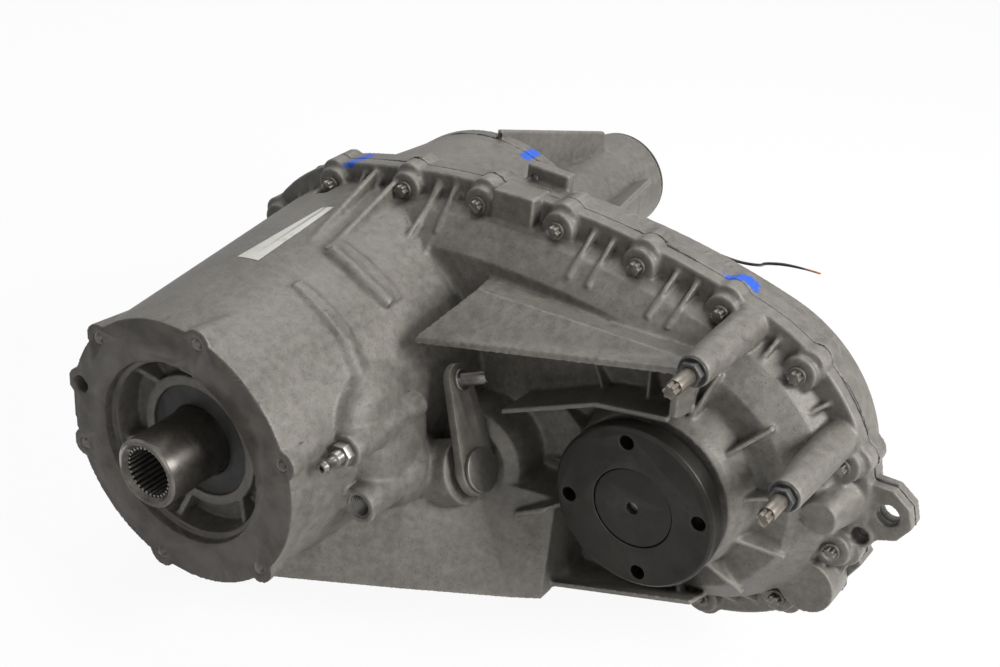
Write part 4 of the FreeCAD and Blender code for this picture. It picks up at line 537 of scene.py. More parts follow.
class Finishes:
    """Every material of the object, built once and found by name."""

    def __init__(self) -> None:
        """Build the shared effects and all finishes."""
        build_effects()
        steel = (126, 123, 119)
        out_axis = (OUTPUT_X, 0.0, 0.0)
        self.made: dict[str, bpy.types.Material] = {}
        for finish in (
            CastFinish("front_casting", faces=(
                (0.0, 0.0009, 0.0, 0.0, 0.120),
                (0.007, 0.0009, 0.0, 0.0, 0.0665),
            )),
            CastFinish("rear_casting"),
            CastFinish("tail_casting"),
            CastFinish("pump_casting", body=(128, 124, 118)),
            MetalFinish("machined_steel", steel, (188, 186, 181), rough=0.32),
            MetalFinish("input_steel", (96, 92, 87), (176, 173, 168), rough=0.30, smear=0.7),
            MetalFinish("output_steel", (38, 37, 34), (92, 90, 84), metal=0.75, rough=0.42, axis=out_axis,
                        lines=2300.0, smear=0.35),
            MetalFinish("cap_steel", (34, 33, 31), (84, 82, 78), metal=0.7, rough=0.38, axis=out_axis,
                        lines=3600.0, smear=0.3),
            MetalFinish("lever_steel", (112, 108, 102), (156, 152, 145), metal=0.65, rough=0.45, sand=0.8,
                        relief=0.00007, smear=0.55),
            MetalFinish("pin_steel", (104, 101, 97), (164, 161, 155), rough=0.34, smear=0.5),
            MetalFinish("bolt_steel", (96, 92, 86), (160, 156, 150), metal=0.75, rough=0.42, smear=0.6),
            MetalFinish("stud_steel", (88, 82, 74), (146, 140, 131), metal=0.8, rough=0.38, smear=0.8),
            MetalFinish("black_oxide", (36, 36, 36), (96, 95, 92), metal=0.7, rough=0.36, smear=0.3),
            MetalFinish("zinc", (112, 110, 105), (168, 166, 160), rough=0.36, smear=0.6),
            MetalFinish("gear_steel", (110, 108, 104), (176, 174, 170), rough=0.30),
            MetalFinish("bronze", (150, 108, 62), (198, 158, 104), rough=0.36),
            MetalFinish("magnet", (70, 70, 72), (120, 120, 122), metal=0.4, rough=0.5),
            MetalFinish("copper", (168, 98, 62), (214, 150, 108), rough=0.34, smear=0.2),
            SoftFinish("seal_rubber", (24, 23, 23), (48, 46, 44), rough=0.5),
            SoftFinish("sealant", (15, 15, 15), (34, 33, 32), rough=0.42, scale=500.0),
            SoftFinish("insulation", (44, 40, 42), (70, 62, 62), rough=0.48),
            SoftFinish("switch_plastic", (30, 30, 31), (54, 53, 52), rough=0.46),
            PaperFinish("paper"),
        ):
            self.made[finish.name] = finish.build()

    def dress(self, piece: bpy.types.Object, name: str) -> None:
        """Give a piece one finish all over."""
        piece.data.materials.clear()
        piece.data.materials.append(self.made[name])


def only(piece: bpy.types.Object) -> None:
    """Select one object alone and make it active."""
    bpy.ops.object.select_all(action="DESELECT")
    piece.select_set(True)
    bpy.context.view_layer.objects.active = piece


def body_name(frame: dict, node: str) -> str:
    """Find the body that a frame node rides on."""
    parent = frame["nodes"][node].parent
    return next(name for name, empty in frame["bodies"].items() if empty == parent)


def copy_of(frame: dict, node: str, name: str) -> bpy.types.Object:
    """Copy a frame node's mesh into a new piece with its corners merged.

    Args:
        frame: The loaded frame.
        node: The node to copy.
        name: The new piece's name.

    Returns:
        The new piece, riding on the node's body and standing for the node.
    """
    mesh = frame["nodes"][node].data.copy()
    mesh.materials.clear()
    piece = bpy.data.objects.new(name, mesh)
    bpy.context.scene.collection.objects.link(piece)
    only(piece)
    bpy.ops.object.mode_set(mode="EDIT")
    bpy.ops.mesh.select_all(action="SELECT")
    bpy.ops.mesh.remove_doubles(threshold=1e-6)
    bpy.ops.object.mode_set(mode="OBJECT")
    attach(piece, body_name(frame, node))
    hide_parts(node)
    return piece


def apply_modifier(piece: bpy.types.Object, kind: str, **settings: object) -> None:
    """Add a modifier to a piece and apply it at once."""
    only(piece)
    made = piece.modifiers.new(kind.lower(), kind)
    for name, value in settings.items():
        setattr(made, name, value)
    bpy.ops.object.modifier_apply(modifier=made.name)


class Skin:
    """A mesh's points and edges as arrays, for smoothing in bulk."""

    def __init__(self, mesh: bpy.types.Mesh) -> None:
        """Read the points and edges of a mesh."""
        self.mesh = mesh
        self.points = np.empty(len(mesh.vertices) * 3)
        mesh.vertices.foreach_get("co", self.points)
        self.points = self.points.reshape(-1, 3)
        edges = np.empty(len(mesh.edges) * 2, dtype=np.int64)
        mesh.edges.foreach_get("vertices", edges)
        self.edges = edges.reshape(-1, 2)
        count = len(self.points)
        self.degree = np.bincount(self.edges.ravel(), minlength=count).astype(float)

    def pull(self) -> np.ndarray:
        """The step from each point to the middle of its neighbours."""
        count = len(self.points)
        first, second = self.edges[:, 0], self.edges[:, 1]
        middle = np.empty_like(self.points)
        for axis in range(3):
            values = self.points[:, axis]
            middle[:, axis] = np.bincount(first, values[second], count)
            middle[:, axis] += np.bincount(second, values[first], count)
        return middle / self.degree[:, None] - self.points

    def normals(self) -> np.ndarray:
        """The direction that each point faces."""
        self.write()
        found = np.empty(len(self.points) * 3)
        self.mesh.vertex_normals.foreach_get("vector", found)
        return found.reshape(-1, 3)

    def relax(self, weight: np.ndarray, steps: int) -> None:
        """Round the corners without thinning the walls."""
        for _ in range(steps):
            self.points += 0.5 * weight[:, None] * self.pull()
            self.points -= 0.52 * weight[:, None] * self.pull()

    def settle(self, weight: np.ndarray, steps: int) -> None:
        """Smooth with a little shrinking."""
        for _ in range(steps):
            self.points += 0.5 * weight[:, None] * self.pull()

    def fill(self, weight: np.ndarray, steps: int) -> None:
        """Fill the inner corners only, as a fillet does."""
        facing = self.normals()
        for step in range(steps):
            if step % 10 == 9:
                facing = self.normals()
            outward = np.maximum((self.pull() * facing).sum(axis=1), 0.0)
            self.points += (0.8 * weight * outward)[:, None] * facing

    def write(self) -> None:
        """Put the points back into the mesh."""
        self.mesh.vertices.foreach_set("co", self.points.ravel())
        self.mesh.update()


@dataclass
class SoftForm:
    """A rounded lump that is melted into a casting."""

    centre: Place
    size: Place
    turn: Place = (0.0, 0.0, 0.0)

    def add(self) -> bpy.types.Object:
        """Make the lump and return it."""
        bpy.ops.object.select_all(action="DESELECT")
        bpy.ops.mesh.primitive_uv_sphere_add(segments=32, ring_count=20, radius=1.0, location=self.centre,
                                             rotation=[math.radians(a) for a in self.turn])
        lump = bpy.context.object
        lump.scale = self.size
        bpy.ops.object.transform_apply(location=True, rotation=True, scale=True)
        return lump


@dataclass
class RoundRib:
    """A round bar laid along the casting's skin and melted into it."""

    points: tuple[Place, ...]
    radius: float

    def add(self) -> bpy.types.Object:
        """Make the bar, with rounded ends, and return it."""
        line = bpy.data.curves.new("rib", "CURVE")
        line.dimensions = "3D"
        line.bevel_depth = self.radius
        line.bevel_resolution = 6
        line.use_fill_caps = True
        spline = line.splines.new("NURBS")
        spline.points.add(len(self.points) - 1)
        for point, place in zip(spline.points, self.points):
            point.co = (*(a * MM for a in place), 1)
        spline.order_u = 3
        spline.use_endpoint_u = True
        bar = bpy.data.objects.new("rib", line)
        bpy.context.scene.collection.objects.link(bar)
        only(bar)
        bpy.ops.object.convert(target="MESH")
        return bar


@dataclass
class Gusset:
    """A thin triangular fin between the rim and the casting's wall."""

    top: Place
    foot: Place
    root: Place
    thick: float

    def add(self) -> bpy.types.Object:
        """Make the fin and return it, its corners given in millimetres."""
        corners = [Vector(place) * MM for place in (self.top, self.foot, self.root)]
        facing = (corners[1] - corners[0]).cross(corners[2] - corners[0]).normalized()
        bpy.ops.object.select_all(action="DESELECT")
        bpy.ops.mesh.primitive_circle_add(vertices=3, radius=1.0, fill_type="NGON", location=(0, 0, 0))
        fin = bpy.context.object
        for vertex, corner in zip(fin.data.vertices, corners):
            vertex.co = corner
        bpy.ops.object.mode_set(mode="EDIT")
        bpy.ops.mesh.select_all(action="SELECT")
        bpy.ops.mesh.extrude_region_move(TRANSFORM_OT_translate={"value": facing * self.thick * MM})
        bpy.ops.mesh.select_all(action="SELECT")
        bpy.ops.transform.translate(value=facing * self.thick * -0.5 * MM)
        bpy.ops.mesh.normals_make_consistent(inside=False)
        bpy.ops.object.mode_set(mode="OBJECT")
        return fin


@dataclass(frozen=True)
class CaseZones:
    """Where the castings are machined or hollow, as stations and distances in millimetres."""

    flange_face: float = 1.6
    pilot_reach: float = 67
    pilot_depth: float = 9
    joint_margin: float = 1.5
    seal_reach: float = 42
    seal_rear: float = 200
    tail_end: float = 571
    snout_wall: float = 5.5
    recess_front: float = 8
    chamber_front: float = 193
    output_chamber: float = 100
    output_bore: float = 45
    output_bore_front: float = 150
    cavity_front: float = 194
    cavity_half_height: float = 112
    cavity_slope: float = 0.06
    cavity_middle: float = 130
    cavity_end: float = 260
    sump_front: float = 60
    sump_left: float = 24
    sump_right: float = 188
    sump_floor: float = -92
    sump_top: float = -38
    sump_slant: float = 0.5
    rear_wall: float = 288
    rear_output_chamber: float = 108
    rear_half_height: float = 126
    hump_wall: float = 330
    hump_chamber: float = 102
    tail_bore: float = 40
    lump_depth: float = 6


ZONES = CaseZones()


def snout_radius(station: object) -> object:
    """The snout's outer radius at a station, both in millimetres."""
    return 95 + 18.5 * station / 205


def ramp(value: np.ndarray, start: float, width: float) -> np.ndarray:
    """Rise from nought to one over a width after a start."""
    return np.clip((value - start) / width, 0, 1)


@dataclass
class Casting:
    """A casting rebuilt as one soft skin over the frame's solid."""

    node: str
    finish: str
    voxel: float = 1.15 * MM
    fillet_steps: int = 4
    wide_steps: int = 0
    forms: tuple[SoftForm, ...] = ()
    ribs: tuple[RoundRib, ...] = ()
    gussets: tuple[Gusset, ...] = ()
    most_triangles: int = 190000

    def keep(self, points: np.ndarray) -> np.ndarray:
        """How freely each point may move, nought on machined faces."""
        weight = np.ones(len(points))
        x, y, z = points.T
        margin = ZONES.joint_margin * MM
        if self.node == "front_case":
            weight[y < ZONES.flange_face * MM] = 0.0
            weight[(np.hypot(x, z) < ZONES.pilot_reach * MM) & (y < ZONES.pilot_depth * MM)] = 0.0
            weight[y > PARTING - margin] = 0.0
            reach = np.hypot(x - OUTPUT_X, z)
            weight[(reach < ZONES.seal_reach * MM) & (y < ZONES.seal_rear * MM)] = 0.0
        elif self.node == "rear_case":
            weight[(y < PARTING + margin) | (y > TAIL_JOINT - margin)] = 0.0
        else:
            weight[(y < TAIL_JOINT + margin) | (y > ZONES.tail_end * MM)] = 0.0
        return weight

    def outside(self, points: np.ndarray) -> np.ndarray:
        """One where a point is on the outer skin, nought inside the hollow."""
        x, y, z = points.T * 1000
        radius = np.hypot(x, z)
        reach = np.hypot(x - OUTPUT_X * 1000, z)
        outer = np.ones(len(points))
        between = (x > 0) & (x < ZONES.cavity_end)
        if self.node == "front_case":
            outer[(radius < snout_radius(y) - ZONES.snout_wall) & (y > ZONES.recess_front)] = 0.0
            outer[(y > ZONES.chamber_front) & (reach < ZONES.output_chamber)] = 0.0
            outer[(reach < ZONES.output_bore) & (y > ZONES.output_bore_front)] = 0.0
            half_height = ZONES.cavity_half_height - np.abs(x - ZONES.cavity_middle) * ZONES.cavity_slope
            outer[(y > ZONES.cavity_front) & (np.abs(z) < half_height) & between] = 0.0
            slant = ZONES.sump_front + (x - ZONES.sump_left) * ZONES.sump_slant
            sump = (y > ZONES.sump_front) & (y > slant)
            sump &= (x > ZONES.sump_left) & (x < ZONES.sump_right)
            sump &= (z > ZONES.sump_floor) & (z < ZONES.sump_top)
            outer[sump] = 0.0
        elif self.node == "rear_case":
            outer[(y < ZONES.rear_wall) & (reach < ZONES.rear_output_chamber)] = 0.0
            outer[(y < ZONES.hump_wall) & (radius < ZONES.hump_chamber)] = 0.0
            outer[(y < ZONES.rear_wall) & (np.abs(z) < ZONES.rear_half_height) & between] = 0.0
        else:
            outer[radius < ZONES.tail_bore] = 0.0
        return outer

    @staticmethod
    def keep_out_of_hollow(lump: bpy.types.Object) -> None:
        """Push a lump's inner side out to the middle of the snout's wall."""
        for vertex in lump.data.vertices:
            x, y, z = vertex.co / MM
            inner = snout_radius(y) - ZONES.lump_depth
            radius = math.hypot(x, z)
            if radius < inner:
                vertex.co = (x * inner / radius * MM, y * MM, z * inner / radius * MM)

    @staticmethod
    def flowing(points: np.ndarray) -> np.ndarray:
        """How strongly each point takes part in the wide fillets of the snout and its bosses."""
        x, y, z = points.T * 1000
        along = ramp(y, 12, 8) * ramp(-y, -196, 10)
        away = ramp(np.hypot(x - OUTPUT_X * 1000, z), 62, 12)
        return along * away * ramp(x, -70, 20)

    def build(self, frame: dict, finishes: Finishes) -> bpy.types.Object:
        """Make the casting.

        Args:
            frame: The loaded frame.
            finishes: The materials.

        Returns:
            The finished piece.
        """
        piece = copy_of(frame, self.node, self.node + "_skin")
        lumps = [form.add() for form in (*self.forms, *self.ribs, *self.gussets)]
        for lump in lumps:
            self.keep_out_of_hollow(lump)
        if lumps:
            only(piece)
            for lump in lumps:
                lump.select_set(True)
            bpy.ops.object.join()
        coarse = 1.0
        apply_modifier(piece, "REMESH", mode="VOXEL", voxel_size=self.voxel * coarse, adaptivity=0.0)
        skin = Skin(piece.data)
        weight = self.keep(skin.points)
        skin.relax(weight, 1)
        outer = weight * self.outside(skin.points)
        skin.fill(outer, round(self.fillet_steps / coarse ** 2))
        skin.fill(outer * self.flowing(skin.points), round(self.wide_steps / coarse ** 2))
        skin.settle(weight, 1)
        skin.write()
        count = sum(len(face.vertices) - 2 for face in piece.data.polygons)
        if count > self.most_triangles:
            apply_modifier(piece, "DECIMATE", ratio=self.most_triangles / count)
        only(piece)
        bpy.ops.object.shade_smooth()
        finishes.dress(piece, self.finish)
        LOG.info("%s has %d points", piece.name, len(piece.data.vertices))
        return piece


@dataclass
class MachinedPart:
    """A hard part with broken edges, made over a frame node."""

    node: str
    finish: str
    slot: str
    edge: float = 0.3
    angle: float = 32.0
    segments: int = 2

    def build(self, frame: dict, finishes: Finishes) -> bpy.types.Object:
        """Make the part and return it."""
        piece = copy_of(frame, self.node, self.node + "_part")
        only(piece)
        bpy.ops.object.mode_set(mode="EDIT")
        bpy.ops.mesh.select_all(action="SELECT")
        bpy.ops.mesh.dissolve_limited(angle_limit=math.radians(0.4))
        bpy.ops.object.mode_set(mode="OBJECT")
        if self.edge:
            apply_modifier(piece, "BEVEL", width=self.edge * MM, segments=self.segments, limit_method="ANGLE",
                           angle_limit=math.radians(self.angle), harden_normals=False)
        only(piece)
        bpy.ops.object.shade_smooth_by_angle(angle=math.radians(38))
        finishes.dress(piece, self.finish)
        LOG.info("%s has %d points", piece.name, len(piece.data.vertices))
        return piece


@dataclass
class ThreadedHole:
    """A run of thread rings inside a drilled hole, along Y."""

    name: str
    centre: tuple[float, float]
    mouth: float
    radius: float
    depth: float
    pitch: float
    segments: int = 28

    def build(self, finishes: Finishes, slot: str) -> bpy.types.Object:
        """Make the thread.

        Args:
            finishes: The materials.
            slot: Not used; the metal is always machined steel.

        Returns:
            The finished piece, a closed ring with a zigzag bore.
        """
        x, z = self.centre[0] * MM, self.centre[1] * MM
        outer = (self.radius - 0.02) * MM
        crest = (self.radius - 0.13 - self.pitch * 0.42) * MM
        root = (self.radius - 0.13) * MM
        bpy.ops.object.select_all(action="DESELECT")
        bpy.ops.mesh.primitive_circle_add(vertices=self.segments, radius=outer,
                                          location=(x, self.mouth * MM, z), rotation=(math.pi / 2, 0, 0))
        piece = bpy.context.object
        piece.name = self.name
        bpy.ops.object.transform_apply(location=True, rotation=True, scale=True)
        bpy.ops.object.mode_set(mode="EDIT")
        bpy.ops.mesh.select_all(action="SELECT")
        station = self.mouth * MM
        reach = outer
        turns = int(self.depth / self.pitch)
        profile = [(root, station + 0.3 * MM)]
        for turn in range(turns):
            start = (self.mouth + 0.5 + turn * self.pitch) * MM
            profile += [(crest, start), (root, start + self.pitch * 0.5 * MM)]
        profile.append((outer, (self.mouth + 0.6 + turns * self.pitch) * MM))
        for radius, place in profile:
            bpy.ops.mesh.extrude_region_move(TRANSFORM_OT_translate={"value": (0, place - station, 0)})
            share = radius / reach
            bpy.ops.transform.resize(value=(share, 1, share), center_override=(x, place, z))
            station, reach = place, radius
        bpy.ops.mesh.select_all(action="DESELECT")
        bpy.ops.mesh.select_mode(type="EDGE")
        bpy.ops.mesh.select_non_manifold(extend=False)
        bpy.ops.mesh.bridge_edge_loops()
        bpy.ops.mesh.select_all(action="SELECT")
        bpy.ops.mesh.normals_make_consistent(inside=False)
        bpy.ops.object.mode_set(mode="OBJECT")
        bpy.ops.object.shade_smooth_by_angle(angle=math.radians(24))
        finishes.dress(piece, "machined_steel")
        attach(piece, "casing")
        return piece


@dataclass
class SealantBead:
    """Black sealant squeezed out of a joint, thick in places and gone in others."""

    name: str
    node: str
    station: float
    cut: float
    thick: float = 1.25 * MM
    gap: float = 0.33
    bare_beyond: float = 0.40
    seed: float = 0.0

    def outline(self, frame: dict) -> list[Vector]:
        """Cut the node's mesh across and return its outermost loop of points."""
        mesh = frame["nodes"][self.node].data.copy()
        knife = bpy.data.objects.new("knife", mesh)
        bpy.context.scene.collection.objects.link(knife)
        only(knife)
        bpy.ops.object.mode_set(mode="EDIT")
        bpy.ops.mesh.select_all(action="SELECT")
        bpy.ops.mesh.remove_doubles(threshold=1e-6)
        bpy.ops.mesh.select_all(action="SELECT")
        bpy.ops.mesh.bisect(plane_co=(0, self.cut, 0), plane_no=(0, 1, 0), clear_inner=True, clear_outer=True)
        bpy.ops.object.mode_set(mode="OBJECT")
        loops = self.loops(knife.data)
        bpy.data.objects.remove(knife)
        return max(loops, key=lambda loop: max(p.x for p in loop) - min(p.x for p in loop))

    @staticmethod
    def loops(mesh: bpy.types.Mesh) -> list[list[Vector]]:
        """Sort a mesh of bare edges into closed loops of points."""
        near: dict[int, list[int]] = {}
        for edge in mesh.edges:
            a, b = edge.vertices
            near.setdefault(a, []).append(b)
            near.setdefault(b, []).append(a)
        loops, seen = [], set()
        for first in near:
            if first in seen:
                continue
            loop, here, last = [], first, -1
            while here not in seen:
                seen.add(here)
                loop.append(mesh.vertices[here].co.copy())
                following = [n for n in near[here] if n != last and n not in seen]
                last = here
                here = following[0] if following else first
            loops.append(loop)
        return loops

    def build(self, frame: dict, finishes: Finishes) -> bpy.types.Object:
        """Make the bead.

        Args:
            frame: The loaded frame.
            finishes: The materials.

        Returns:
            The finished piece.
        """
        corners = self.outline(frame)
        places = []
        for start, end in zip(corners, corners[1:] + corners[:1]):
            steps = max(1, round((end - start).length / (1.6 * MM)))
            places += [start.lerp(end, k / steps) for k in range(steps)]
        line = bpy.data.curves.new(self.name, "CURVE")
        line.dimensions = "3D"
        line.bevel_depth = self.thick
        line.bevel_resolution = 2
        spline = line.splines.new("POLY")
        spline.points.add(len(places) - 1)
        spline.use_cyclic_u = True
        count = len(places)
        area = sum(a.x * b.z - b.x * a.z for a, b in zip(places, places[1:] + places[:1]))
        for k, (point, place) in enumerate(zip(spline.points, places)):
            ahead = places[(k + 1) % count] - places[k - 1]
            inward = Vector((-ahead.z, 0, ahead.x)).normalized() * math.copysign(1, area)
            wide = noise.fractal(place * 34 + Vector((self.seed, 0, 0)), 1.0, 2.0, 4)
            wide += 0.5 * max(0.0, min(1.0, (place.x - 0.30) / 0.05))
            fine = noise.noise(place * 420 + Vector((0, self.seed, 0)))
            point.radius = max(0.04, min(1.5, (wide - self.gap) * 3.2 + 0.35 + fine * 0.55))
            if place.x > self.bare_beyond:
                point.radius = min(point.radius, 0.3)
            sunk = place + inward * self.thick * point.radius * 0.5
            point.co = (sunk.x, self.station + fine * 0.5 * MM, sunk.z, 1)
        piece = bpy.data.objects.new(self.name, line)
        bpy.context.scene.collection.objects.link(piece)
        only(piece)
        bpy.ops.object.convert(target="MESH")
        bpy.ops.object.shade_smooth()
        finishes.dress(piece, "sealant")
        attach(piece, "casing")
        return piece


@dataclass
class SwitchWire:
    """The cut lead of the indicator switch, bare copper at its end."""

    radius: float = 1.1 * MM
    stripped: float = 0.10
    route: tuple[Place, ...] = (
        (0.1960, 0.3270, 0.0880),
        (0.1963, 0.3410, 0.0865),
        (0.2140, 0.3580, 0.0760),
        (0.2360, 0.3500, 0.0840),
        (0.2500, 0.3180, 0.1040),
        (0.2740, 0.3083, 0.1150),
        (0.2983, 0.2980, 0.1213),
    )

    def spline(self, name: str, depth: float) -> bpy.types.Object:
        """Lay the lead's smooth line.

        Args:
            name: The curve's name.
            depth: Radius of the tube round it.

        Returns:
            The curve object.
        """
        line = bpy.data.curves.new(name, "CURVE")
        line.dimensions = "3D"
        line.bevel_depth = depth
        line.bevel_resolution = 5
        line.resolution_u = 24
        line.use_fill_caps = True
        spline = line.splines.new("NURBS")
        spline.points.add(len(self.route) - 1)
        for point, place in zip(spline.points, self.route):
            point.co = (*place, 1)
        spline.points[-1].radius = 0.25
        spline.order_u = 3
        spline.use_endpoint_u = True
        piece = bpy.data.objects.new(name, line)
        bpy.context.scene.collection.objects.link(piece)
        return piece

    def strands(self, finishes: Finishes) -> bpy.types.Object:
        """Twist seven copper strands along the last part of the line and return them as one piece."""
        guide = self.spline("guide", 0.0)
        mesh = bpy.data.meshes.new_from_object(guide)
        points = [v.co.copy() for v in mesh.vertices]
        bpy.data.objects.remove(guide)
        first = int(len(points) * (1 - self.stripped)) - 2
        path = points[first:]
        made = []
        for strand in range(7):
            line = bpy.data.curves.new("strand", "CURVE")
            line.dimensions = "3D"
            line.bevel_depth = 0.24 * MM
            line.bevel_resolution = 2
            line.use_fill_caps = True
            spline = line.splines.new("POLY")
            spline.points.add(len(path) - 1)
            for k, point in enumerate(path):
                ahead = (path[min(k + 1, len(path) - 1)] - path[max(k - 1, 0)]).normalized()
                side = ahead.orthogonal().normalized()
                other = ahead.cross(side)
                turn = 2 * math.pi * strand / 6 + k * 0.35
                reach = 0.0 if strand == 6 else 0.46 * MM
                place = point + (side * math.cos(turn) + other * math.sin(turn)) * reach
                spline.points[k].co = (*place, 1)
            piece = bpy.data.objects.new(f"strand_{strand}", line)
            bpy.context.scene.collection.objects.link(piece)
            only(piece)
            bpy.ops.object.convert(target="MESH")
            made.append(piece)
        only(made[0])
        for piece in made[1:]:
            piece.select_set(True)
        bpy.ops.object.join()
        strands = made[0]
        strands.name = "wire_strands"
        bpy.ops.object.shade_smooth()
        finishes.dress(strands, "copper")
        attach(strands, "casing")
        return strands

    def build(self, frame: dict, finishes: Finishes) -> bpy.types.Object:
        lead = self.spline("switch_lead", self.radius)
        lead.data.materials.append(finishes.made["insulation"])
        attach(lead, "casing")
        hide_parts("switch_wire")
        strands = self.strands(finishes)
        return lead


@dataclass
class Studio:
    """The camera, the lamps, the floor and the white surround."""

    position: Place = (0.6214, -0.6375, 0.6162)
    right: Place = (0.8284, 0.5548, 0.0775)
    up: Place = (-0.3362, 0.3818, 0.8609)
    ahead: Place = (-0.4481, 0.7392, -0.5028)
    lens: float = 58.784
    ambient: float = 0.15

    def camera(self) -> None:
        """Stand the camera where the photographer stood."""
        data = bpy.data.cameras.new("camera")
        data.lens = self.lens
        data.sensor_width = 36
        data.clip_start = 0.01
        holder = bpy.data.objects.new("camera", data)
        bpy.context.scene.collection.objects.link(holder)
        columns = zip(self.right, self.up, [-a for a in self.ahead])
        rows = [(*column, place) for column, place in zip(columns, self.position)]
        holder.matrix_world = Matrix((*rows, (0, 0, 0, 1)))
        bpy.context.scene.camera = holder

    def lamp(self, name: str, place: Place, size: float, power: float, tint: Colour = (1, 1, 1)) -> None:
        """Hang a soft square lamp that faces the object."""
        data = bpy.data.lights.new(name, "AREA")
        data.size = size
        data.energy = power
        data.color = tint
        holder = bpy.data.objects.new(name, data)
        bpy.context.scene.collection.objects.link(holder)
        aim = Vector((0.13, 0.22, 0.0)) - Vector(place)
        holder.matrix_world = Matrix.Translation(place) @ aim.to_track_quat("-Z", "Y").to_matrix().to_4x4()

    def world(self) -> None:
        """Light the object softly and show white behind it."""
        world = bpy.data.worlds.new("surround")
        bpy.context.scene.world = world
        world.use_nodes = True
        graph = Graph(world.node_tree)
        fill = world.node_tree.nodes["Background"]
        fill.inputs["Color"].default_value = (1, 1, 1, 1)
        fill.inputs["Strength"].default_value = self.ambient
        white = graph.node("Background")
        white.inputs["Color"].default_value = (1, 1, 1, 1)
        white.inputs["Strength"].default_value = 1.0
        path = graph.node("LightPath")
        seen = graph.sum("MAXIMUM", path.outputs["Is Camera Ray"], path.outputs["Is Glossy Ray"])
        seen = graph.sum("MAXIMUM", seen, path.outputs["Is Transmission Ray"])
        mixed = graph.node("MixShader")
        graph.feed(mixed.inputs[0], seen)
        graph.feed(mixed.inputs[1], fill.outputs[0])
        graph.feed(mixed.inputs[2], white.outputs[0])
        target = world.node_tree.nodes["World Output"]
        graph.feed(target.inputs["Surface"], mixed.outputs[0])

    def floor(self, height: float) -> None:
        """Lay a white floor that keeps a faint shadow."""
        bpy.ops.object.select_all(action="DESELECT")
        bpy.ops.mesh.primitive_plane_add(size=30, location=(0, 0, height))
        floor = bpy.context.object
        floor.name = "floor"
        material = bpy.data.materials.new("floor_white")
        material.use_nodes = True
        graph = Graph(material.node_tree)
        shader = material.node_tree.nodes["Principled BSDF"]
        shader.inputs["Base Color"].default_value = (0.95, 0.95, 0.95, 1)
        shader.inputs["Roughness"].default_value = 1.0
        shader.inputs["Specular IOR Level"].default_value = 0.0
        glow = graph.node("Emission")
        glow.inputs["Strength"].default_value = 1.0
        path = graph.node("LightPath")
        mixed = graph.node("MixShader")
        graph.feed(mixed.inputs[0], graph.sum("MULTIPLY", path.outputs["Is Camera Ray"], 0.93))
        graph.feed(mixed.inputs[1], shader.outputs[0])
        graph.feed(mixed.inputs[2], glow.outputs[0])
        graph.feed(material.node_tree.nodes["Material Output"].inputs["Surface"], mixed.outputs[0])
        floor.data.materials.append(material)
        floor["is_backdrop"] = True

    def build(self, low: Vector) -> None:
        """Set up everything round the object."""
        self.camera()
        self.lamp("key", (1.55, 0.30, 0.90), 0.7, 34.0)
        self.lamp("top", (-0.1, 0.8, 1.6), 1.0, 17.0)
        self.lamp("front", (0.6, -1.6, 0.30), 1.2, 5.0)
        self.world()
        self.floor(low.z - 0.5 * MM)


SNOUT_RIBS = (
    RoundRib(((20, 128, 105), (34, 127, 101), (48, 126, 95), (60, 127, 88), (68, 130, 82)), 6.0 * MM),
    RoundRib(((31, 83, 95), (43, 82, 91), (54, 82, 86.5), (63, 82, 80), (70, 82, 74)), 4.2 * MM),
    RoundRib(((66, 84, 72), (76, 80, 60), (84, 79, 50), (89, 80, 40), (91, 82, 30)), 9.0 * MM),
)

SNOUT_SWELLINGS = (
    SoftForm((0.086, 0.088, 0.030), (0.020, 0.044, 0.030), (0, 0, 12)),
    SoftForm((0.092, 0.098, 0.000), (0.026, 0.040, 0.040), (0, 0, 10)),
    SoftForm((0.100, 0.106, -0.020), (0.024, 0.034, 0.026), (0, 0, 10)),
)

SNOUT_GUSSETS = (
    Gusset((-14.0, 224, 125), (5.0, 98, 101), (-13.0, 224, 107), 4.2),
    Gusset((8.0, 224, 128), (17.0, 120, 104), (9.0, 224, 108), 4.2),
    Gusset((42.5, 224, 133), (42.5, 172, 97), (42.5, 224, 101), 3.4),
    Gusset((59.5, 224, 133), (56.5, 178, 93), (59.0, 224, 94), 3.4),
)

PORT = ThreadedHole("port_thread", (109, -19), mouth=51.0, radius=8.5, depth=15.0, pitch=1.8, segments=40)

BEADS = (
    SealantBead("parting_sealant", "front_case", PARTING, cut=231.6 * MM),
    SealantBead("tail_sealant", "tail_housing", TAIL_JOINT, cut=360.4 * MM, gap=0.3, seed=7.0),
)

CASTINGS = (
    Casting("front_case", "front_casting", wide_steps=10, forms=SNOUT_SWELLINGS, ribs=SNOUT_RIBS,
            gussets=SNOUT_GUSSETS),
    Casting("rear_case", "rear_casting"),
    Casting("tail_housing", "tail_casting"),
)

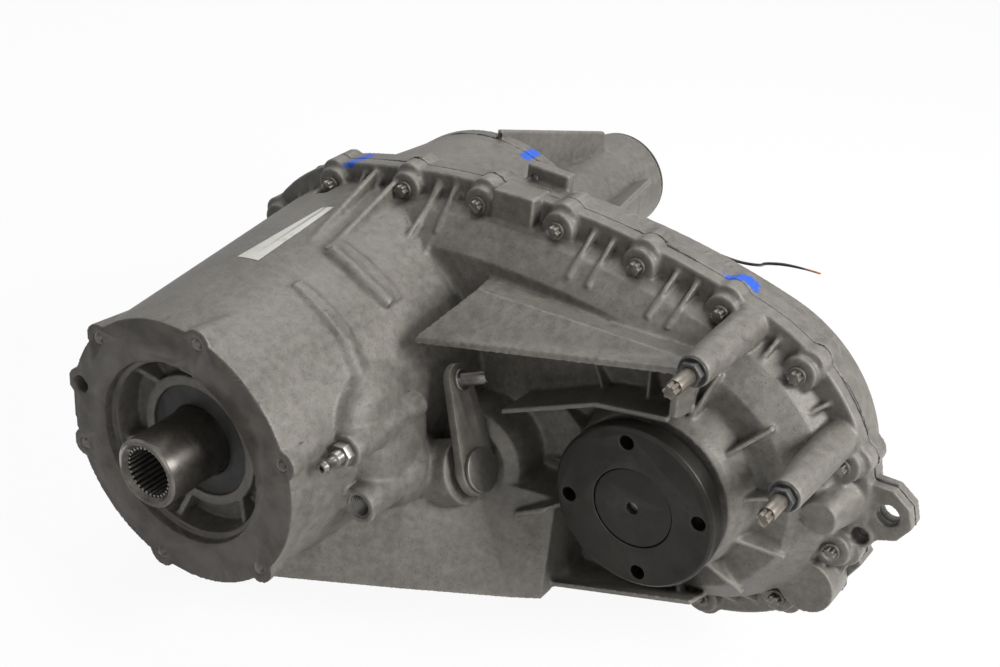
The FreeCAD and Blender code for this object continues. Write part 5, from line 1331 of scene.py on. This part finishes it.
MACHINED = (
    MachinedPart("input_shaft", "input_steel", "steel", edge=0.25),
    MachinedPart("input_seal", "seal_rubber", "rubber", edge=0.3),
    MachinedPart("front_output_flange", "output_steel", "dark_steel", edge=0.7, segments=3),
    MachinedPart("output_cap", "cap_steel", "dark_steel", edge=0.3),
    MachinedPart("output_seal", "seal_rubber", "rubber", edge=0.3),
    MachinedPart("shift_lever", "lever_steel", "lever_steel", edge=1.1, segments=3),
    MachinedPart("lever_pin", "pin_steel", "lever_steel", edge=0.4),
    MachinedPart("shift_shaft", "pin_steel", "steel", edge=0.5),
    MachinedPart("case_bolts", "bolt_steel", "black_oxide", edge=0.25),
    MachinedPart("tail_bolts", "bolt_steel", "black_oxide", edge=0.25),
    MachinedPart("case_studs", "stud_steel", "zinc", edge=0.25),
    MachinedPart("stud_nuts", "black_oxide", "black_oxide", edge=0.4),
    MachinedPart("vent_fitting", "zinc", "zinc", edge=0.3),
    MachinedPart("oil_plugs", "bolt_steel", "zinc", edge=0.5),
    MachinedPart("indicator_switch", "switch_plastic", "plastic", edge=0.4),
    MachinedPart("tail_seal", "seal_rubber", "rubber", edge=0.3),
    MachinedPart("tail_bushing", "bronze", "bronze", edge=0.3),
    MachinedPart("case_label", "paper", "paper", edge=0.0),
)

HIDDEN_FINISHES = {
    "cast_aluminium": "pump_casting",
    "steel": "gear_steel",
    "dark_steel": "output_steel",
    "lever_steel": "lever_steel",
    "zinc": "zinc",
    "black_oxide": "black_oxide",
    "rubber": "seal_rubber",
    "bronze": "bronze",
    "plastic": "switch_plastic",
    "paper": "paper",
    "insulation": "insulation",
    "magnet": "magnet",
}


def dress_hidden(frame: dict, finishes: Finishes) -> None:
    """Give every frame node its finish, the sealed inner parts among them."""
    for part in frame["record"]["subparts"]:
        node = frame["nodes"][part["node"]]
        finishes.dress(node, HIDDEN_FINISHES[part["material_slot"]])


@dataclass(frozen=True)
class FlangeHoles:
    """The ring of threaded holes in the input flange, in millimetres and degrees."""

    count: int = 6
    radius: float = 91
    first_angle: float = 18.85

    def build(self, finishes: Finishes) -> None:
        """Cut a thread into each hole."""
        for index in range(self.count):
            turn = math.radians(self.first_angle + 360 / self.count * index)
            centre = (self.radius * math.cos(turn), self.radius * math.sin(turn))
            hole = ThreadedHole(f"flange_thread_{index + 1}", centre, mouth=0.7, radius=4.3, depth=13.0,
                                pitch=1.5)
            piece = hole.build(finishes, "cast_aluminium")
            LOG.info("%s has %d points", piece.name, len(piece.data.vertices))


def main() -> None:
    """Build the dressed object and its surround."""
    logging.basicConfig(level=logging.INFO, format="%(name)s: %(message)s")
    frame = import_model()
    bpy.context.scene.view_settings.view_transform = "Standard"
    low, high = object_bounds()
    finishes = Finishes()
    Studio().build(low)
    lead = SwitchWire().build(frame, finishes)
    LOG.info("%s runs through %d points", lead.name, len(SwitchWire.route))
    dress_hidden(frame, finishes)
    for casting in CASTINGS:
        casting.build(frame, finishes)
    for part in MACHINED:
        part.build(frame, finishes)
    FlangeHoles().build(finishes)
    PORT.build(finishes, "cast_aluminium")
    for bead in BEADS:
        piece = bead.build(frame, finishes)
        LOG.info("%s has %d points", piece.name, len(piece.data.vertices))


if __name__ == "__main__":
    main()
